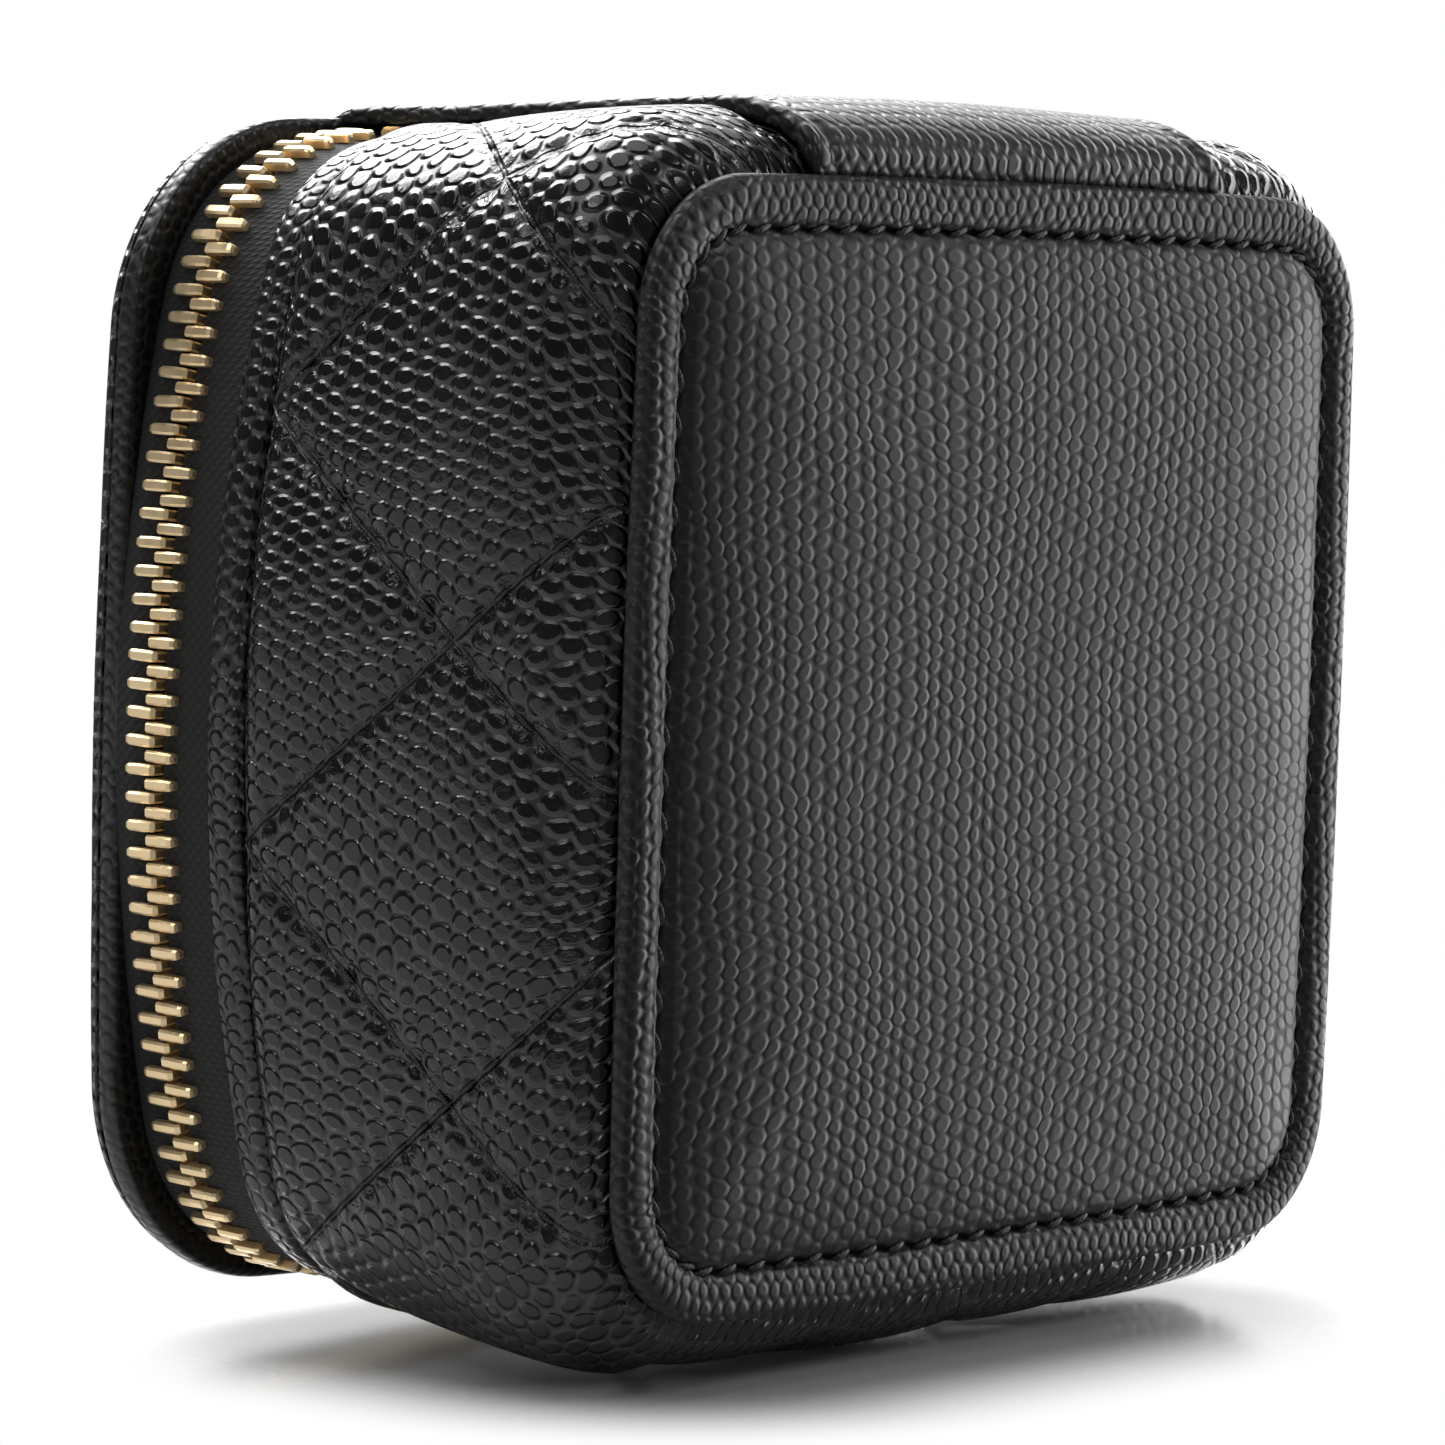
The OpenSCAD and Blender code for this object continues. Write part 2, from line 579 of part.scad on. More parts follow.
// The lid's board lies flat under the dome. The leather comes down past its edge and is turned in underneath it.
lid_wall = 1.2;
lid_flange = 3.4;
lid_plate_z = lid_edge_z - board_t;
lid_floor_z = lid_plate_z - lining_t;
module lid_board() color("#6f665a") layer(lid_outline, lid_wall + layer_gap, lid_plate_z, lid_edge_z);

module lid_band() color("#202022") {
    band(lid_outline, 0, lid_wall, lid_plate_z, lid_edge_z - lid_turn);
    band(lid_outline, lid_turn, lid_wall, lid_edge_z - lid_turn, lid_edge_z);
    band(lid_outline, 0, lid_flange, lid_under_z, lid_plate_z);
}

module lid_lining() color("#3a3230") layer(lid_outline, lid_flange + layer_gap, lid_floor_z, lid_plate_z);

mirror_r = 7;
module lid_mirror() color("#c9d2d6") {
    translate([0, 0, lid_floor_z - mirror_t]) linear_extrude(mirror_t) rounded_box(mirror_w, mirror_w, mirror_r);
}

module mirror_frame() color("#232325") {
    lip = 1.2;
    outer = mirror_w + 2 * frame_w;
    translate([0, 0, lid_floor_z - mirror_t]) linear_extrude(mirror_t) difference() {
        rounded_box(outer, outer, mirror_r + frame_w);
        rounded_box(mirror_w + 0.2, mirror_w + 0.2, mirror_r);
    }
    translate([0, 0, lid_floor_z - mirror_t - 0.5]) linear_extrude(0.5) difference() {
        rounded_box(outer, outer, mirror_r + frame_w);
        rounded_box(mirror_w - 2 * lip, mirror_w - 2 * lip, mirror_r - lip);
    }
}

base_panel();
body_board();
quilted_wall();
rim_band();
body_lining();
floor_pad();
divider();
ring_roll(1);  // ring_roll_1
ring_roll(2);  // ring_roll_2
ring_roll(3);  // ring_roll_3
back_strap();
body_zip_tape();
body_zip_teeth();
zip_stops();
slider();
puller();
pull_tab();
lid_panel();
lid_board();
lid_band();
lid_zip_tape();
lid_zip_teeth();
lid_lining();
lid_mirror();
mirror_frame();
lid_strap();
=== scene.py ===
import math

import bmesh
import bpy
import numpy as np
from mathutils import Matrix, Vector


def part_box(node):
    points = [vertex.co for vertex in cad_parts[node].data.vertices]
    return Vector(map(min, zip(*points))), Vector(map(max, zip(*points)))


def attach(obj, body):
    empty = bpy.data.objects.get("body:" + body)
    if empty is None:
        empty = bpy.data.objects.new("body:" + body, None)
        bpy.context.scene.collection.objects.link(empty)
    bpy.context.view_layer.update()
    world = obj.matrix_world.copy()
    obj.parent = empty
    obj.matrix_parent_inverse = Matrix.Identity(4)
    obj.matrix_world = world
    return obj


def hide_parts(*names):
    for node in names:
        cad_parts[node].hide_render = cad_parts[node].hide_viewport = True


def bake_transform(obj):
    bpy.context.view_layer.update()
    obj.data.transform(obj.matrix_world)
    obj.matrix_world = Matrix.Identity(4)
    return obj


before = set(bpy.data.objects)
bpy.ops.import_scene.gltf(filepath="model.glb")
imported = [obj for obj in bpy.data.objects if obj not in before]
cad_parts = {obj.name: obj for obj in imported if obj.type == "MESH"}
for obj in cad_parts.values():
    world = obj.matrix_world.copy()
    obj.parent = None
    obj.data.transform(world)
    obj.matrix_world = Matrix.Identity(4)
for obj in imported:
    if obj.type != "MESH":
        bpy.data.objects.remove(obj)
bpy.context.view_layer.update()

MM = 0.001

# ---- sizes, in millimetres, as the CAD part has them
BASE_T = 1.6
RIM_Z = 37.2
WELT_Z = 33.4
WALL_T = 2.2
INSIDE_IN = 4.4
LINING_IN = 3.9
LINING_FOOT = 3.2
BOARD_TOP = 36.4
FLOOR_Z = 3.65
DIAMONDS = 10
DIAMOND_H = 38.6
SEAM_GAP = 24.8
QUILT_PUFF = 0.9
QUILT_SHIFT = 7.1
ZIP_Z = 42.8
TOOTH_PITCH = 2.0
TOOTH_LEG = 2.4
TOOTH_HEAD = 0.5
TOOTH_T = 2.1
TOOTH_W = 0.78
TAPE_HALF = 0.28
TAPE_BELOW_ZIP = 0.75
TAPE_TUCK = 0.6
ZIP_UNDER_STRAP = 1.6
SLIDER_L = 9.5
LID_EDGE_Z = 48.9
LID_UNDER_Z = 46.6
LID_RISE = 6.0
LID_DIAMONDS = 3
LID_SEAM_GAP = 20.3
STRAP_W = 45.4
WALL_CLEAR = 0.2
STITCHES = 100
TUCK_IN = 3.7

# An outline is [half width, half depth, corner radius, bow of the sides, bow of front and back]
BASE_OUTLINE = [40, 39.5, 10, 0.3, 0.3]
RIM_OUTLINE = [44.3, 43.2, 13, 3.8, 1.9]
ZIP_OUTLINE = [43.3, 42.2, 14.5, 3, 1.6]
LID_OUTLINE = [43.6, 43, 16, 0.5, 0.5]
# The wall's outline at its foot, how far it swells out above the foot and in what share of the height,
# and how much it grows from there to the rim
WALL_FOOT = [39.5, 39, 10, 0.3, 0.3]
WALL_SWELL = [(2.7, 0.36), (4.5, 0.24)]
WALL_GROWTH = [2.1, -0.3, 3, 3.5, 1.6]


# ---- outlines
def arcs(o):
    """The arcs of an outline from the middle of the front, by way of +X: centre x, centre y, radius, from, to."""
    x, y, r = o[0] - o[3] - o[2], o[1] - o[4] - o[2], o[2]
    sr = o[3] / 2 + r + y * y / (2 * o[3])
    fr = o[4] / 2 + r + x * x / (2 * o[4])
    sa, fa = math.asin(y / (sr - r)), math.asin(x / (fr - r))
    q, h = math.pi / 2, math.pi
    return np.array([
        [0, fr - o[1], fr, -q, fa - q], [x, -y, r, fa - q, -sa], [o[0] - sr, 0, sr, -sa, sa],
        [x, y, r, sa, q - fa], [0, o[1] - fr, fr, q - fa, q + fa], [-x, y, r, q + fa, h - sa],
        [sr - o[0], 0, sr, h - sa, h + sa], [-x, -y, r, h + sa, h + q - fa], [0, fr - o[1], fr, h + q - fa, h + q],
    ])


def arc_lengths(o):
    a = arcs(o)
    return a[:, 2] * (a[:, 4] - a[:, 3])


def perimeter(o):
    return float(arc_lengths(o).sum())


def run_along(points):
    """The distance along a row of points to each of them."""
    return np.r_[0, np.cumsum(np.linalg.norm(np.diff(points, axis=0), axis=1))]


def along(o, s, out=0.0):
    """Points and outward directions at distances s along an outline, moved out by some distance."""
    a, lengths = arcs(o), arc_lengths(o)
    ends = np.cumsum(lengths)
    s = np.mod(np.asarray(s, float), ends[-1])
    k = np.minimum(np.searchsorted(ends, s), len(a) - 1)
    angle = a[k, 3] + (s - (ends[k] - lengths[k])) / a[k, 2]
    normal = np.stack([np.cos(angle), np.sin(angle)], -1)
    return a[k, :2] + normal * (a[k, 2] + out)[..., None], normal


def level_ring(o, s, inset, z):
    """A row of points along an outline, moved in by some distance, at one height."""
    p, _ = along(o, s, -inset)
    return np.column_stack([p, np.full(len(p), z)])


def wall_outline(z):
    u = (z - BASE_T) / (RIM_Z - BASE_T)
    swell = [out * math.sqrt(max(0, 1 - (1 - min(1, max(0, u / share))) ** 2)) for out, share in WALL_SWELL]
    return [foot + out + growth * u for foot, out, growth in zip(WALL_FOOT, swell + [0, 0, 0], WALL_GROWTH)]


def wall_row(z, share, inset):
    """A level row at shares of the way round the wall, moved in from its outline."""
    o = wall_outline(z)
    return level_ring(o, perimeter(o) * share, inset, z)


def zip_hidden_by_strap():
    """The length of the zip's line from the middle of the back to the strap's edge, on each side."""
    back_radius = arcs(ZIP_OUTLINE)[0][2]
    return back_radius * math.asin((STRAP_W / 2 - ZIP_UNDER_STRAP) / back_radius)


# ---- meshes
def linked(name, mesh):
    """An object for a mesh, in the scene."""
    piece = bpy.data.objects.new(name, mesh)
    bpy.context.scene.collection.objects.link(piece)
    return piece


def mesh_piece(name, points, faces, materials, uv=None, slots=None, smooth=True, quilt=None):
    """A mesh piece from points in millimetres, with a UV map that is the material laid flat, in millimetres.
    quilt is a second map that counts the seams of the quilting, one way and the other."""
    mesh = bpy.data.meshes.new(name)
    mesh.from_pydata((np.asarray(points, float) * MM).tolist(), [], [list(map(int, f)) for f in faces])
    for m in materials:
        mesh.materials.append(m)
    for layer_name, values in (("flat", uv), ("quilt", quilt)):
        if values is not None:
            layer = mesh.uv_layers.new(name=layer_name)
            layer.data.foreach_set("uv", np.asarray(values, np.float32).ravel())
    if slots is not None:
        mesh.polygons.foreach_set("material_index", np.asarray(slots, np.int32))
    mesh.polygons.foreach_set("use_smooth", np.full(len(mesh.polygons), smooth))
    mesh.update()
    return linked(name, mesh)


def corner_map(u, v, rows, last):
    """The two values of a map at the four corners of each face of a loft."""
    u = np.broadcast_to(u, (rows, last + 1))
    v = np.broadcast_to(v[:, None] if np.ndim(v) < 2 else v, (rows, last + 1))
    before, after = slice(None, -1), slice(1, None)
    corners = [(before, before), (before, after), (after, after), (after, before)]
    return np.stack([np.stack([u[c], v[c]], -1) for c in corners], 2).reshape(-1, 2)


def sealed(piece):
    """Joins points that lie on each other, fills the openings that are left and turns the faces outwards."""
    work = bmesh.new()
    work.from_mesh(piece.data)
    bmesh.ops.remove_doubles(work, verts=work.verts, dist=1e-7)
    open_edges = [e for e in work.edges if e.is_boundary]
    if open_edges:
        bmesh.ops.holes_fill(work, edges=open_edges, sides=0)
    bmesh.ops.recalc_face_normals(work, faces=work.faces)
    if work.calc_volume(signed=True) < 0:
        bmesh.ops.reverse_faces(work, faces=work.faces)
    work.to_mesh(piece.data)
    work.free()
    return piece


def loft(name, rings, u, v, materials, around=True, row_slots=None, quilt=None):
    """A closed skin over rows of points. u runs along a row and has one value more than a closed row has points;
    v belongs to the rows."""
    rings = np.array(rings)
    rows, cols = rings.shape[:2]
    last = cols if around else cols - 1
    k, i = np.meshgrid(np.arange(rows - 1), np.arange(last), indexing="ij")
    j = (i + 1) % cols
    faces = np.stack([k * cols + i, k * cols + j, (k + 1) * cols + j, (k + 1) * cols + i], -1).reshape(-1, 4)
    slots = None if row_slots is None else np.repeat(row_slots, last)
    return sealed(mesh_piece(name, rings.reshape(-1, 3), faces, materials, corner_map(u, v, rows, last), slots,
                             quilt=None if quilt is None else corner_map(*quilt, rows, last)))


def soft_line(corners, step):
    """A line through (a, b, rounding) corners, with each corner rounded, as evenly spaced points."""
    line = []
    for n, (a, b, r) in enumerate(corners):
        p = np.array([a, b], float)
        if r == 0 or n in (0, len(corners) - 1):
            line.append(p)
            continue
        before = np.array(corners[n - 1][:2], float) - p
        after = np.array(corners[n + 1][:2], float) - p
        p0 = p + before / np.linalg.norm(before) * min(r, np.linalg.norm(before) / 2)
        p1 = p + after / np.linalg.norm(after) * min(r, np.linalg.norm(after) / 2)
        line += [p0 * (1 - t) ** 2 + 2 * p * t * (1 - t) + p1 * t * t for t in np.linspace(0, 1, 6)]
    line = np.array(line)
    far = run_along(line)
    t = np.linspace(0, far[-1], max(2, int(far[-1] / step) + 1))
    return np.stack([np.interp(t, far, line[:, 0]), np.interp(t, far, line[:, 1])], -1), t


def band(name, outline, corners, material, columns=520):
    """A ring of material whose section is a rounded line of (inset, height, rounding), closed on itself."""
    line, far = soft_line(corners, 0.25)
    total = perimeter(outline)
    s = total * np.arange(columns) / columns
    return loft(name, [level_ring(outline, s, inset, z) for inset, z in line],
                total * np.arange(columns + 1) / columns, far, [material])


def fitted(piece, body, slot, *nodes):
    """Fixes a piece to the body it moves with and hides the CAD nodes that it stands for. slot, its finish, is not
    used.
    """
    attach(piece, body)
    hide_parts(*nodes)
    return piece


# ---- materials
def linear(colour):
    """An sRGB hex colour as linear RGBA."""
    parts = [int(colour[i:i + 2], 16) / 255 for i in (1, 3, 5)]
    return [c / 12.92 if c <= 0.04045 else ((c + 0.055) / 1.055) ** 2.4 for c in parts] + [1.0]


def add(tree, kind, links=None, **settings):
    """Adds a node with its settings; each input takes a value, the socket that feeds it, or a node, which feeds
    it with its first output."""
    made = tree.nodes.new(kind)
    for key, value in settings.items():
        setattr(made, key, value)
    for key, value in (links or {}).items():
        if isinstance(value, bpy.types.Node):
            value = value.outputs[0]
        if isinstance(value, bpy.types.NodeSocket):
            tree.links.new(value, made.inputs[key])
        else:
            made.inputs[key].default_value = value
    return made


def new_material(name):
    m = bpy.data.materials.new(name)
    m.use_nodes = True
    m.node_tree.nodes.clear()
    return m, m.node_tree


def surfaced(m, links, shader_kind="ShaderNodeBsdfPrincipled"):
    """Ends a material with the shader that its surface shows."""
    shader = add(m.node_tree, shader_kind, links)
    add(m.node_tree, "ShaderNodeOutputMaterial", {"Surface": shader})
    return m


def textured(m, share, dark, light, links, height=None, depth=0.0, strength=1.0):
    """Ends a material whose colour goes from dark to light with a texture. Where height is given, that texture raises
    the surface by up to depth millimetres."""
    colour = add(m.node_tree, "ShaderNodeMix", {0: share, 6: linear(dark), 7: linear(light)}, data_type="RGBA")
    links = {"Base Color": colour.outputs[2], **links}
    if height is not None:
        links["Normal"] = add(m.node_tree, "ShaderNodeBump", {
            "Height": height, "Distance": depth * MM, "Strength": strength})
    return surfaced(m, links)


def grained_leather(name, pebble, depth, roughness, top, net_with_painted_light, stretch, turn=0.0, flat=0.2, seam_gap=None):
    """Black drum dyed calfskin, embossed with a round pebble grain and glazed. The pebbles lie in staggered rows that
    wander as the hide stretches. pebble is the distance between pebbles in millimetres, depth their height and flat
    the share of a pebble that is level. Where seam_gap is given, the leather is quilted: it is pinched into fine
    creases along seams that are that many millimetres apart."""
    stagger = 1.732  # between two rows of the same grid, as on a hexagonal net
    m, tree = new_material(name)
    uv = add(tree, "ShaderNodeUVMap", uv_map="flat")
    place = add(tree, "ShaderNodeMapping", {
        "Vector": uv, "Rotation": (0, 0, turn), "Scale": (stretch[0] / pebble, stretch[1] / pebble, 1)})
    # the rows drift by up to 3 pebbles over a hand's breadth, and each pebble by up to 0.42 of one
    drift = add(tree, "ShaderNodeTexNoise", {"Vector": place, "Scale": 0.06, "Detail": 1.0}, noise_dimensions="2D")
    wander = add(tree, "ShaderNodeTexNoise", {"Vector": place, "Scale": 0.6, "Detail": 0.0}, noise_dimensions="2D")
    rows = place
    for noise, reach in ((drift, 3), (wander, 0.42)):
        rows = add(tree, "ShaderNodeVectorMath", {0: noise.outputs["Color"], 1: (reach, reach, 0), 2: rows},
                   operation="MULTIPLY_ADD")
    # staggered rows are two grids of pebbles, each shifted by half a step from the other
    near = []
    for shift in (0.0, 0.5):
        cell = add(tree, "ShaderNodeVectorMath", {0: rows, 1: (1, 1 / stagger, 0), 2: (shift, shift, 0)},
                   operation="MULTIPLY_ADD")
        cell = add(tree, "ShaderNodeVectorMath", {0: cell}, operation="FRACTION")
        cell = add(tree, "ShaderNodeVectorMath", {0: cell, 1: (1, stagger, 0), 2: (-0.5, -stagger / 2, 0)},
                   operation="MULTIPLY_ADD")
        near.append(add(tree, "ShaderNodeVectorMath", {0: cell}, operation="LENGTH").outputs["Value"])
    core = add(tree, "ShaderNodeMath", {0: near[0], 1: near[1]}, operation="MINIMUM")
    core = add(tree, "ShaderNodeMath", {0: wander, 1: 0.24, 2: core}, operation="MULTIPLY_ADD")
    dome = add(tree, "ShaderNodeMapRange", {0: core, 1: 0.12 + flat, 2: 0.66, 3: 1.0, 4: 0.0},
               interpolation_type="SMOOTHSTEP")
    pores = add(tree, "ShaderNodeTexNoise", {"Vector": place, "Scale": 3.2, "Detail": 3.0}, noise_dimensions="2D")
    height = add(tree, "ShaderNodeMath", {0: pores, 1: 0.1, 2: dome}, operation="MULTIPLY_ADD")
    # the glaze takes on the tops of the pebbles only, and the net between them stays matt
    # a lighter net is a painted reflection, a darker net painted shade
    # the same mask gives the net between the pebbles another colour than their tops, and that colour is painted light:
    shade = add(tree, "ShaderNodeMapRange", {0: dome, 1: 0.15, 2: 0.5}, interpolation_type="SMOOTHSTEP")
    if seam_gap is not None:
        lines = add(tree, "ShaderNodeSeparateXYZ", {0: add(tree, "ShaderNodeUVMap", uv_map="quilt")}).outputs
        one, other = (add(tree, "ShaderNodeMath", {0: line, 1: 0.5}, operation="PINGPONG") for line in lines[:2])
        seam = add(tree, "ShaderNodeMath", {0: one, 1: other}, operation="MINIMUM")
        seam = add(tree, "ShaderNodeMath", {0: seam, 1: seam_gap}, operation="MULTIPLY")
        # creases fan out from the seam and flatten the pebbles within 1.5 mm of it
        creases = add(tree, "ShaderNodeTexNoise", {"Vector": uv, "Scale": 1.5, "Detail": 3.0, "Distortion": 0.6},
                      noise_dimensions="2D")
        calm = add(tree, "ShaderNodeMapRange", {0: seam, 1: 0.2, 2: 1.5, 3: 0.3, 4: 1.0},
                   interpolation_type="SMOOTHSTEP")
        left = add(tree, "ShaderNodeMapRange", {0: seam, 1: 0.2, 2: 1.6, 3: 0.8, 4: 0.0})
        height = add(tree, "ShaderNodeMath", {0: height, 1: calm}, operation="MULTIPLY")
        height = add(tree, "ShaderNodeMath", {0: creases, 1: left, 2: height}, operation="MULTIPLY_ADD")
        groove = add(tree, "ShaderNodeMapRange", {0: seam, 1: 0.0, 2: 0.3, 3: -1.1, 4: 0.0},
                     interpolation_type="SMOOTHSTEP")
        height = add(tree, "ShaderNodeMath", {0: height, 1: groove}, operation="ADD")
        # in the seam the colour goes over to the net's, with its painted light
        shut = add(tree, "ShaderNodeMapRange", {0: seam, 1: 0.05, 2: 0.3, 3: 0.2, 4: 1.0})
        shade = add(tree, "ShaderNodeMath", {0: shade, 1: shut}, operation="MULTIPLY")
    patchy = add(tree, "ShaderNodeTexNoise", {"Vector": uv, "Scale": 0.06, "Detail": 2.0}, noise_dimensions="2D")
    glaze = add(tree, "ShaderNodeMapRange", {0: patchy, 1: 0.3, 2: 0.7, 3: roughness - 0.04, 4: roughness + 0.05})
    gloss = add(tree, "ShaderNodeMapRange", {0: shade, 3: roughness + 0.14, 4: glaze})
    return textured(m, shade, net_with_painted_light, top, {"IOR": 1.5, "Roughness": gloss}, height, depth)


def woven_tape(name, yarn):
    """Black polyester zip tape, woven in a fine twill: dull threads with a faint sheen. yarn is the width of a thread,
    drawn coarser than the real 0.15 mm so that it shows."""
    m, tree = new_material(name)
    uv = add(tree, "ShaderNodeUVMap", uv_map="flat")
    bands = 0.314  # a wave texture of scale 1 repeats after this length
    warp, weft = (add(tree, "ShaderNodeTexWave", {"Vector": uv, "Scale": bands / yarn, "Distortion": 0.4,
                                                  "Detail": 1.0}, bands_direction=way).outputs["Fac"]
                  for way in ("DIAGONAL", "X"))
    height = add(tree, "ShaderNodeMath", {0: warp, 1: weft}, operation="MULTIPLY")
    return textured(m, height, "#020202", "#0B0B0C", {"Roughness": 0.85, "Sheen Weight": 0.12}, height, 0.06)


def plated_metal(name):
    """Zinc and brass parts, plated in pale gold and polished: warm, bright, with soft tumbling marks."""
    m, tree = new_material(name)
    place = add(tree, "ShaderNodeTexCoord").outputs["Object"]
    marks = add(tree, "ShaderNodeTexNoise", {"Vector": place, "Scale": 900.0, "Detail": 3.0})
    gloss = add(tree, "ShaderNodeMapRange", {0: marks, 1: 0.3, 2: 0.7, 3: 0.26, 4: 0.4})
    return textured(m, marks, "#F0D09C", "#FCE7BE", {"Metallic": 0.8, "Roughness": gloss}, marks, 0.01, 0.5)


def microfibre(name, light, dark):
    """Microfibre suede lining, brushed: a short matt nap with soft blotches where it was stroked."""
    m, tree = new_material(name)
    place = add(tree, "ShaderNodeTexCoord").outputs["Object"]
    nap = add(tree, "ShaderNodeTexNoise", {"Vector": place, "Scale": 2600.0, "Detail": 2.0})
    blotch = add(tree, "ShaderNodeTexNoise", {"Vector": place, "Scale": 90.0, "Detail": 3.0})
    mix = add(tree, "ShaderNodeMath", {0: nap, 1: 0.5, 2: blotch}, operation="MULTIPLY_ADD")
    mix = add(tree, "ShaderNodeMapRange", {0: mix, 1: 0.5, 2: 1.0})
    return textured(m, mix, dark, light, {"Roughness": 0.95, "Sheen Weight": 0.5, "Sheen Tint": linear(light)},
                    nap, 0.05, 0.8)


def pressed_board(name):
    """Grey board pressed from paper fibre: matt, speckled with fibres."""
    m, tree = new_material(name)
    place = add(tree, "ShaderNodeTexCoord").outputs["Object"]
    fibres = add(tree, "ShaderNodeTexNoise", {"Vector": place, "Scale": 1200.0, "Detail": 4.0})
    return textured(m, fibres, "#3B3631", "#6F665A", {"Roughness": 0.9})


def silvered_glass(name):
    """Float glass silvered on its back: a clear, cool mirror with the faintest waviness."""
    m, tree = new_material(name)
    place = add(tree, "ShaderNodeTexCoord").outputs["Object"]
    wave = add(tree, "ShaderNodeTexNoise", {"Vector": place, "Scale": 40.0, "Detail": 1.0})
    return surfaced(m, {
        "Base Color": linear("#E6ECEE"), "Metallic": 1.0,
        "Roughness": add(tree, "ShaderNodeMapRange", {0: wave, 1: 0.3, 2: 0.7, 3: 0.01, 4: 0.03})})


def waxed_thread(name):
    """Black polyester sewing thread, twisted and waxed: dark, with a slight gloss across its twist."""
    m, tree = new_material(name)
    place = add(tree, "ShaderNodeTexCoord").outputs["Object"]
    twist = add(tree, "ShaderNodeTexWave", {"Vector": place, "Scale": 1500.0, "Distortion": 2.0},
                bands_direction="DIAGONAL").outputs["Fac"]
    return textured(m, twist, "#040404", "#0D0D0E", {"Roughness": 0.5}, twist, 0.03, 0.7)


# The tops differ from copy to copy of the same black calfskin as well: lit and shaded copies, painted light.
# lighter as a painted reflection on the walls, lid, rim, trim and border, darker as painted shade on panels and strap.
# the two colours are those of the pebbles' tops and of the net between them, and the net's colour is painted light:
wall_leather = grained_leather("glazed_calfskin_walls", 1.5, 0.22, 0.17, "#060607", "#2A2A2B", (1.0, 0.76),
                               flat=0.27, seam_gap=SEAM_GAP)
lid_leather = grained_leather("glazed_calfskin_lid", 1.5, 0.22, 0.18, "#060607", "#2A2A2B", (1.0, 0.85),
                              flat=0.27, seam_gap=LID_SEAM_GAP)
panel_leather = grained_leather("glazed_calfskin_panels", 1.36, 0.057, 0.41, "#151517", "#050506", (0.8, 1.0),
                                turn=math.pi / 2, flat=0.24)
rim_leather = grained_leather("glazed_calfskin_rim", 1.4, 0.15, 0.22, "#070708", "#232324", (1.0, 0.8), flat=0.25)
trim_leather = grained_leather("glazed_calfskin_trim", 1.2, 0.06, 0.34, "#0A0A0B", "#161617", (1.0, 0.85))
strap_leather = grained_leather("glazed_calfskin_strap", 1.35, 0.09, 0.36, "#141416", "#0A0A0B", (1.0, 0.8),
                                flat=0.24)
border_leather = grained_leather("turned_calfskin_border", 1.25, 0.1, 0.44, "#0C0C0D", "#131315", (1.0, 0.9))
zip_tape = woven_tape("woven_polyester_tape", 0.45)
gold_metal = plated_metal("gold_plated_metal")
lining_cloth = microfibre("brushed_microfibre_lining", "#2E2826", "#171312")
roll_cloth = microfibre("brushed_microfibre_padding", "#3A322F", "#1E1918")
grey_board = pressed_board("pressed_grey_board")
mirror_glass = silvered_glass("silvered_float_glass")
thread = waxed_thread("waxed_sewing_thread")

for node_name, finish in (("body_board", grey_board), ("lid_board", grey_board), ("zip_stops", gold_metal),
                          ("lid_mirror", mirror_glass)):
    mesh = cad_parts[node_name].data
    mesh.materials.clear()
    mesh.materials.append(finish)


# ---- repeated pieces along a line
def repeat_tree():
    """Geometry Nodes: one copy of a piece on each point, turned to the point's own directions."""
    tree = bpy.data.node_groups.new("piece_on_each_point", "GeometryNodeTree")
    for label, kind in (("Geometry", "Geometry"), ("Piece", "Object"), ("Size", "Float"), ("Size spread", "Float"),
                        ("Turn spread", "Float"), ("Seed", "Int"), ("Finish", "Material")):
        tree.interface.new_socket(label, in_out="INPUT", socket_type="NodeSocket" + kind)
    tree.interface.new_socket("Geometry", in_out="OUTPUT", socket_type="NodeSocketGeometry")
    given = add(tree, "NodeGroupInput").outputs
    run = add(tree, "GeometryNodeInputNamedAttribute", {"Name": "run"}, data_type="FLOAT_VECTOR")
    out = add(tree, "GeometryNodeInputNamedAttribute", {"Name": "out"}, data_type="FLOAT_VECTOR")
    turn = add(tree, "FunctionNodeAlignRotationToVector", {"Vector": run}, axis="X")
    turn = add(tree, "FunctionNodeAlignRotationToVector", {"Rotation": turn, "Vector": out}, axis="Z", pivot_axis="X")
    less = add(tree, "ShaderNodeMath", {0: given["Turn spread"], 1: -1.0}, operation="MULTIPLY")
    spin = add(tree, "FunctionNodeRandomValue", {"Min": less, "Max": given["Turn spread"], "Seed": given["Seed"]},
               data_type="FLOAT").outputs["Value"]
    spin = add(tree, "FunctionNodeEulerToRotation", {0: add(tree, "ShaderNodeCombineXYZ", {"Z": spin})})
    turn = add(tree, "FunctionNodeRotateRotation", {"Rotation": turn, "Rotate By": spin}, rotation_space="LOCAL")
    low, high = (add(tree, "ShaderNodeMath", {0: given["Size"], 1: given["Size spread"]}, operation=way)
                 for way in ("SUBTRACT", "ADD"))
    size = add(tree, "FunctionNodeRandomValue", {"Min": low, "Max": high, "Seed": given["Seed"]},
               data_type="FLOAT").outputs["Value"]
    piece = add(tree, "GeometryNodeObjectInfo", {"Object": given["Piece"]}, transform_space="ORIGINAL")
    copies = add(tree, "GeometryNodeInstanceOnPoints", {
        "Points": given["Geometry"], "Instance": piece.outputs["Geometry"], "Rotation": turn, "Scale": size})
    real = add(tree, "GeometryNodeRealizeInstances", {0: copies})
    done = add(tree, "GeometryNodeSetMaterial", {"Geometry": real, "Material": given["Finish"]})
    add(tree, "NodeGroupOutput", {0: done})
    return tree


REPEAT = repeat_tree()


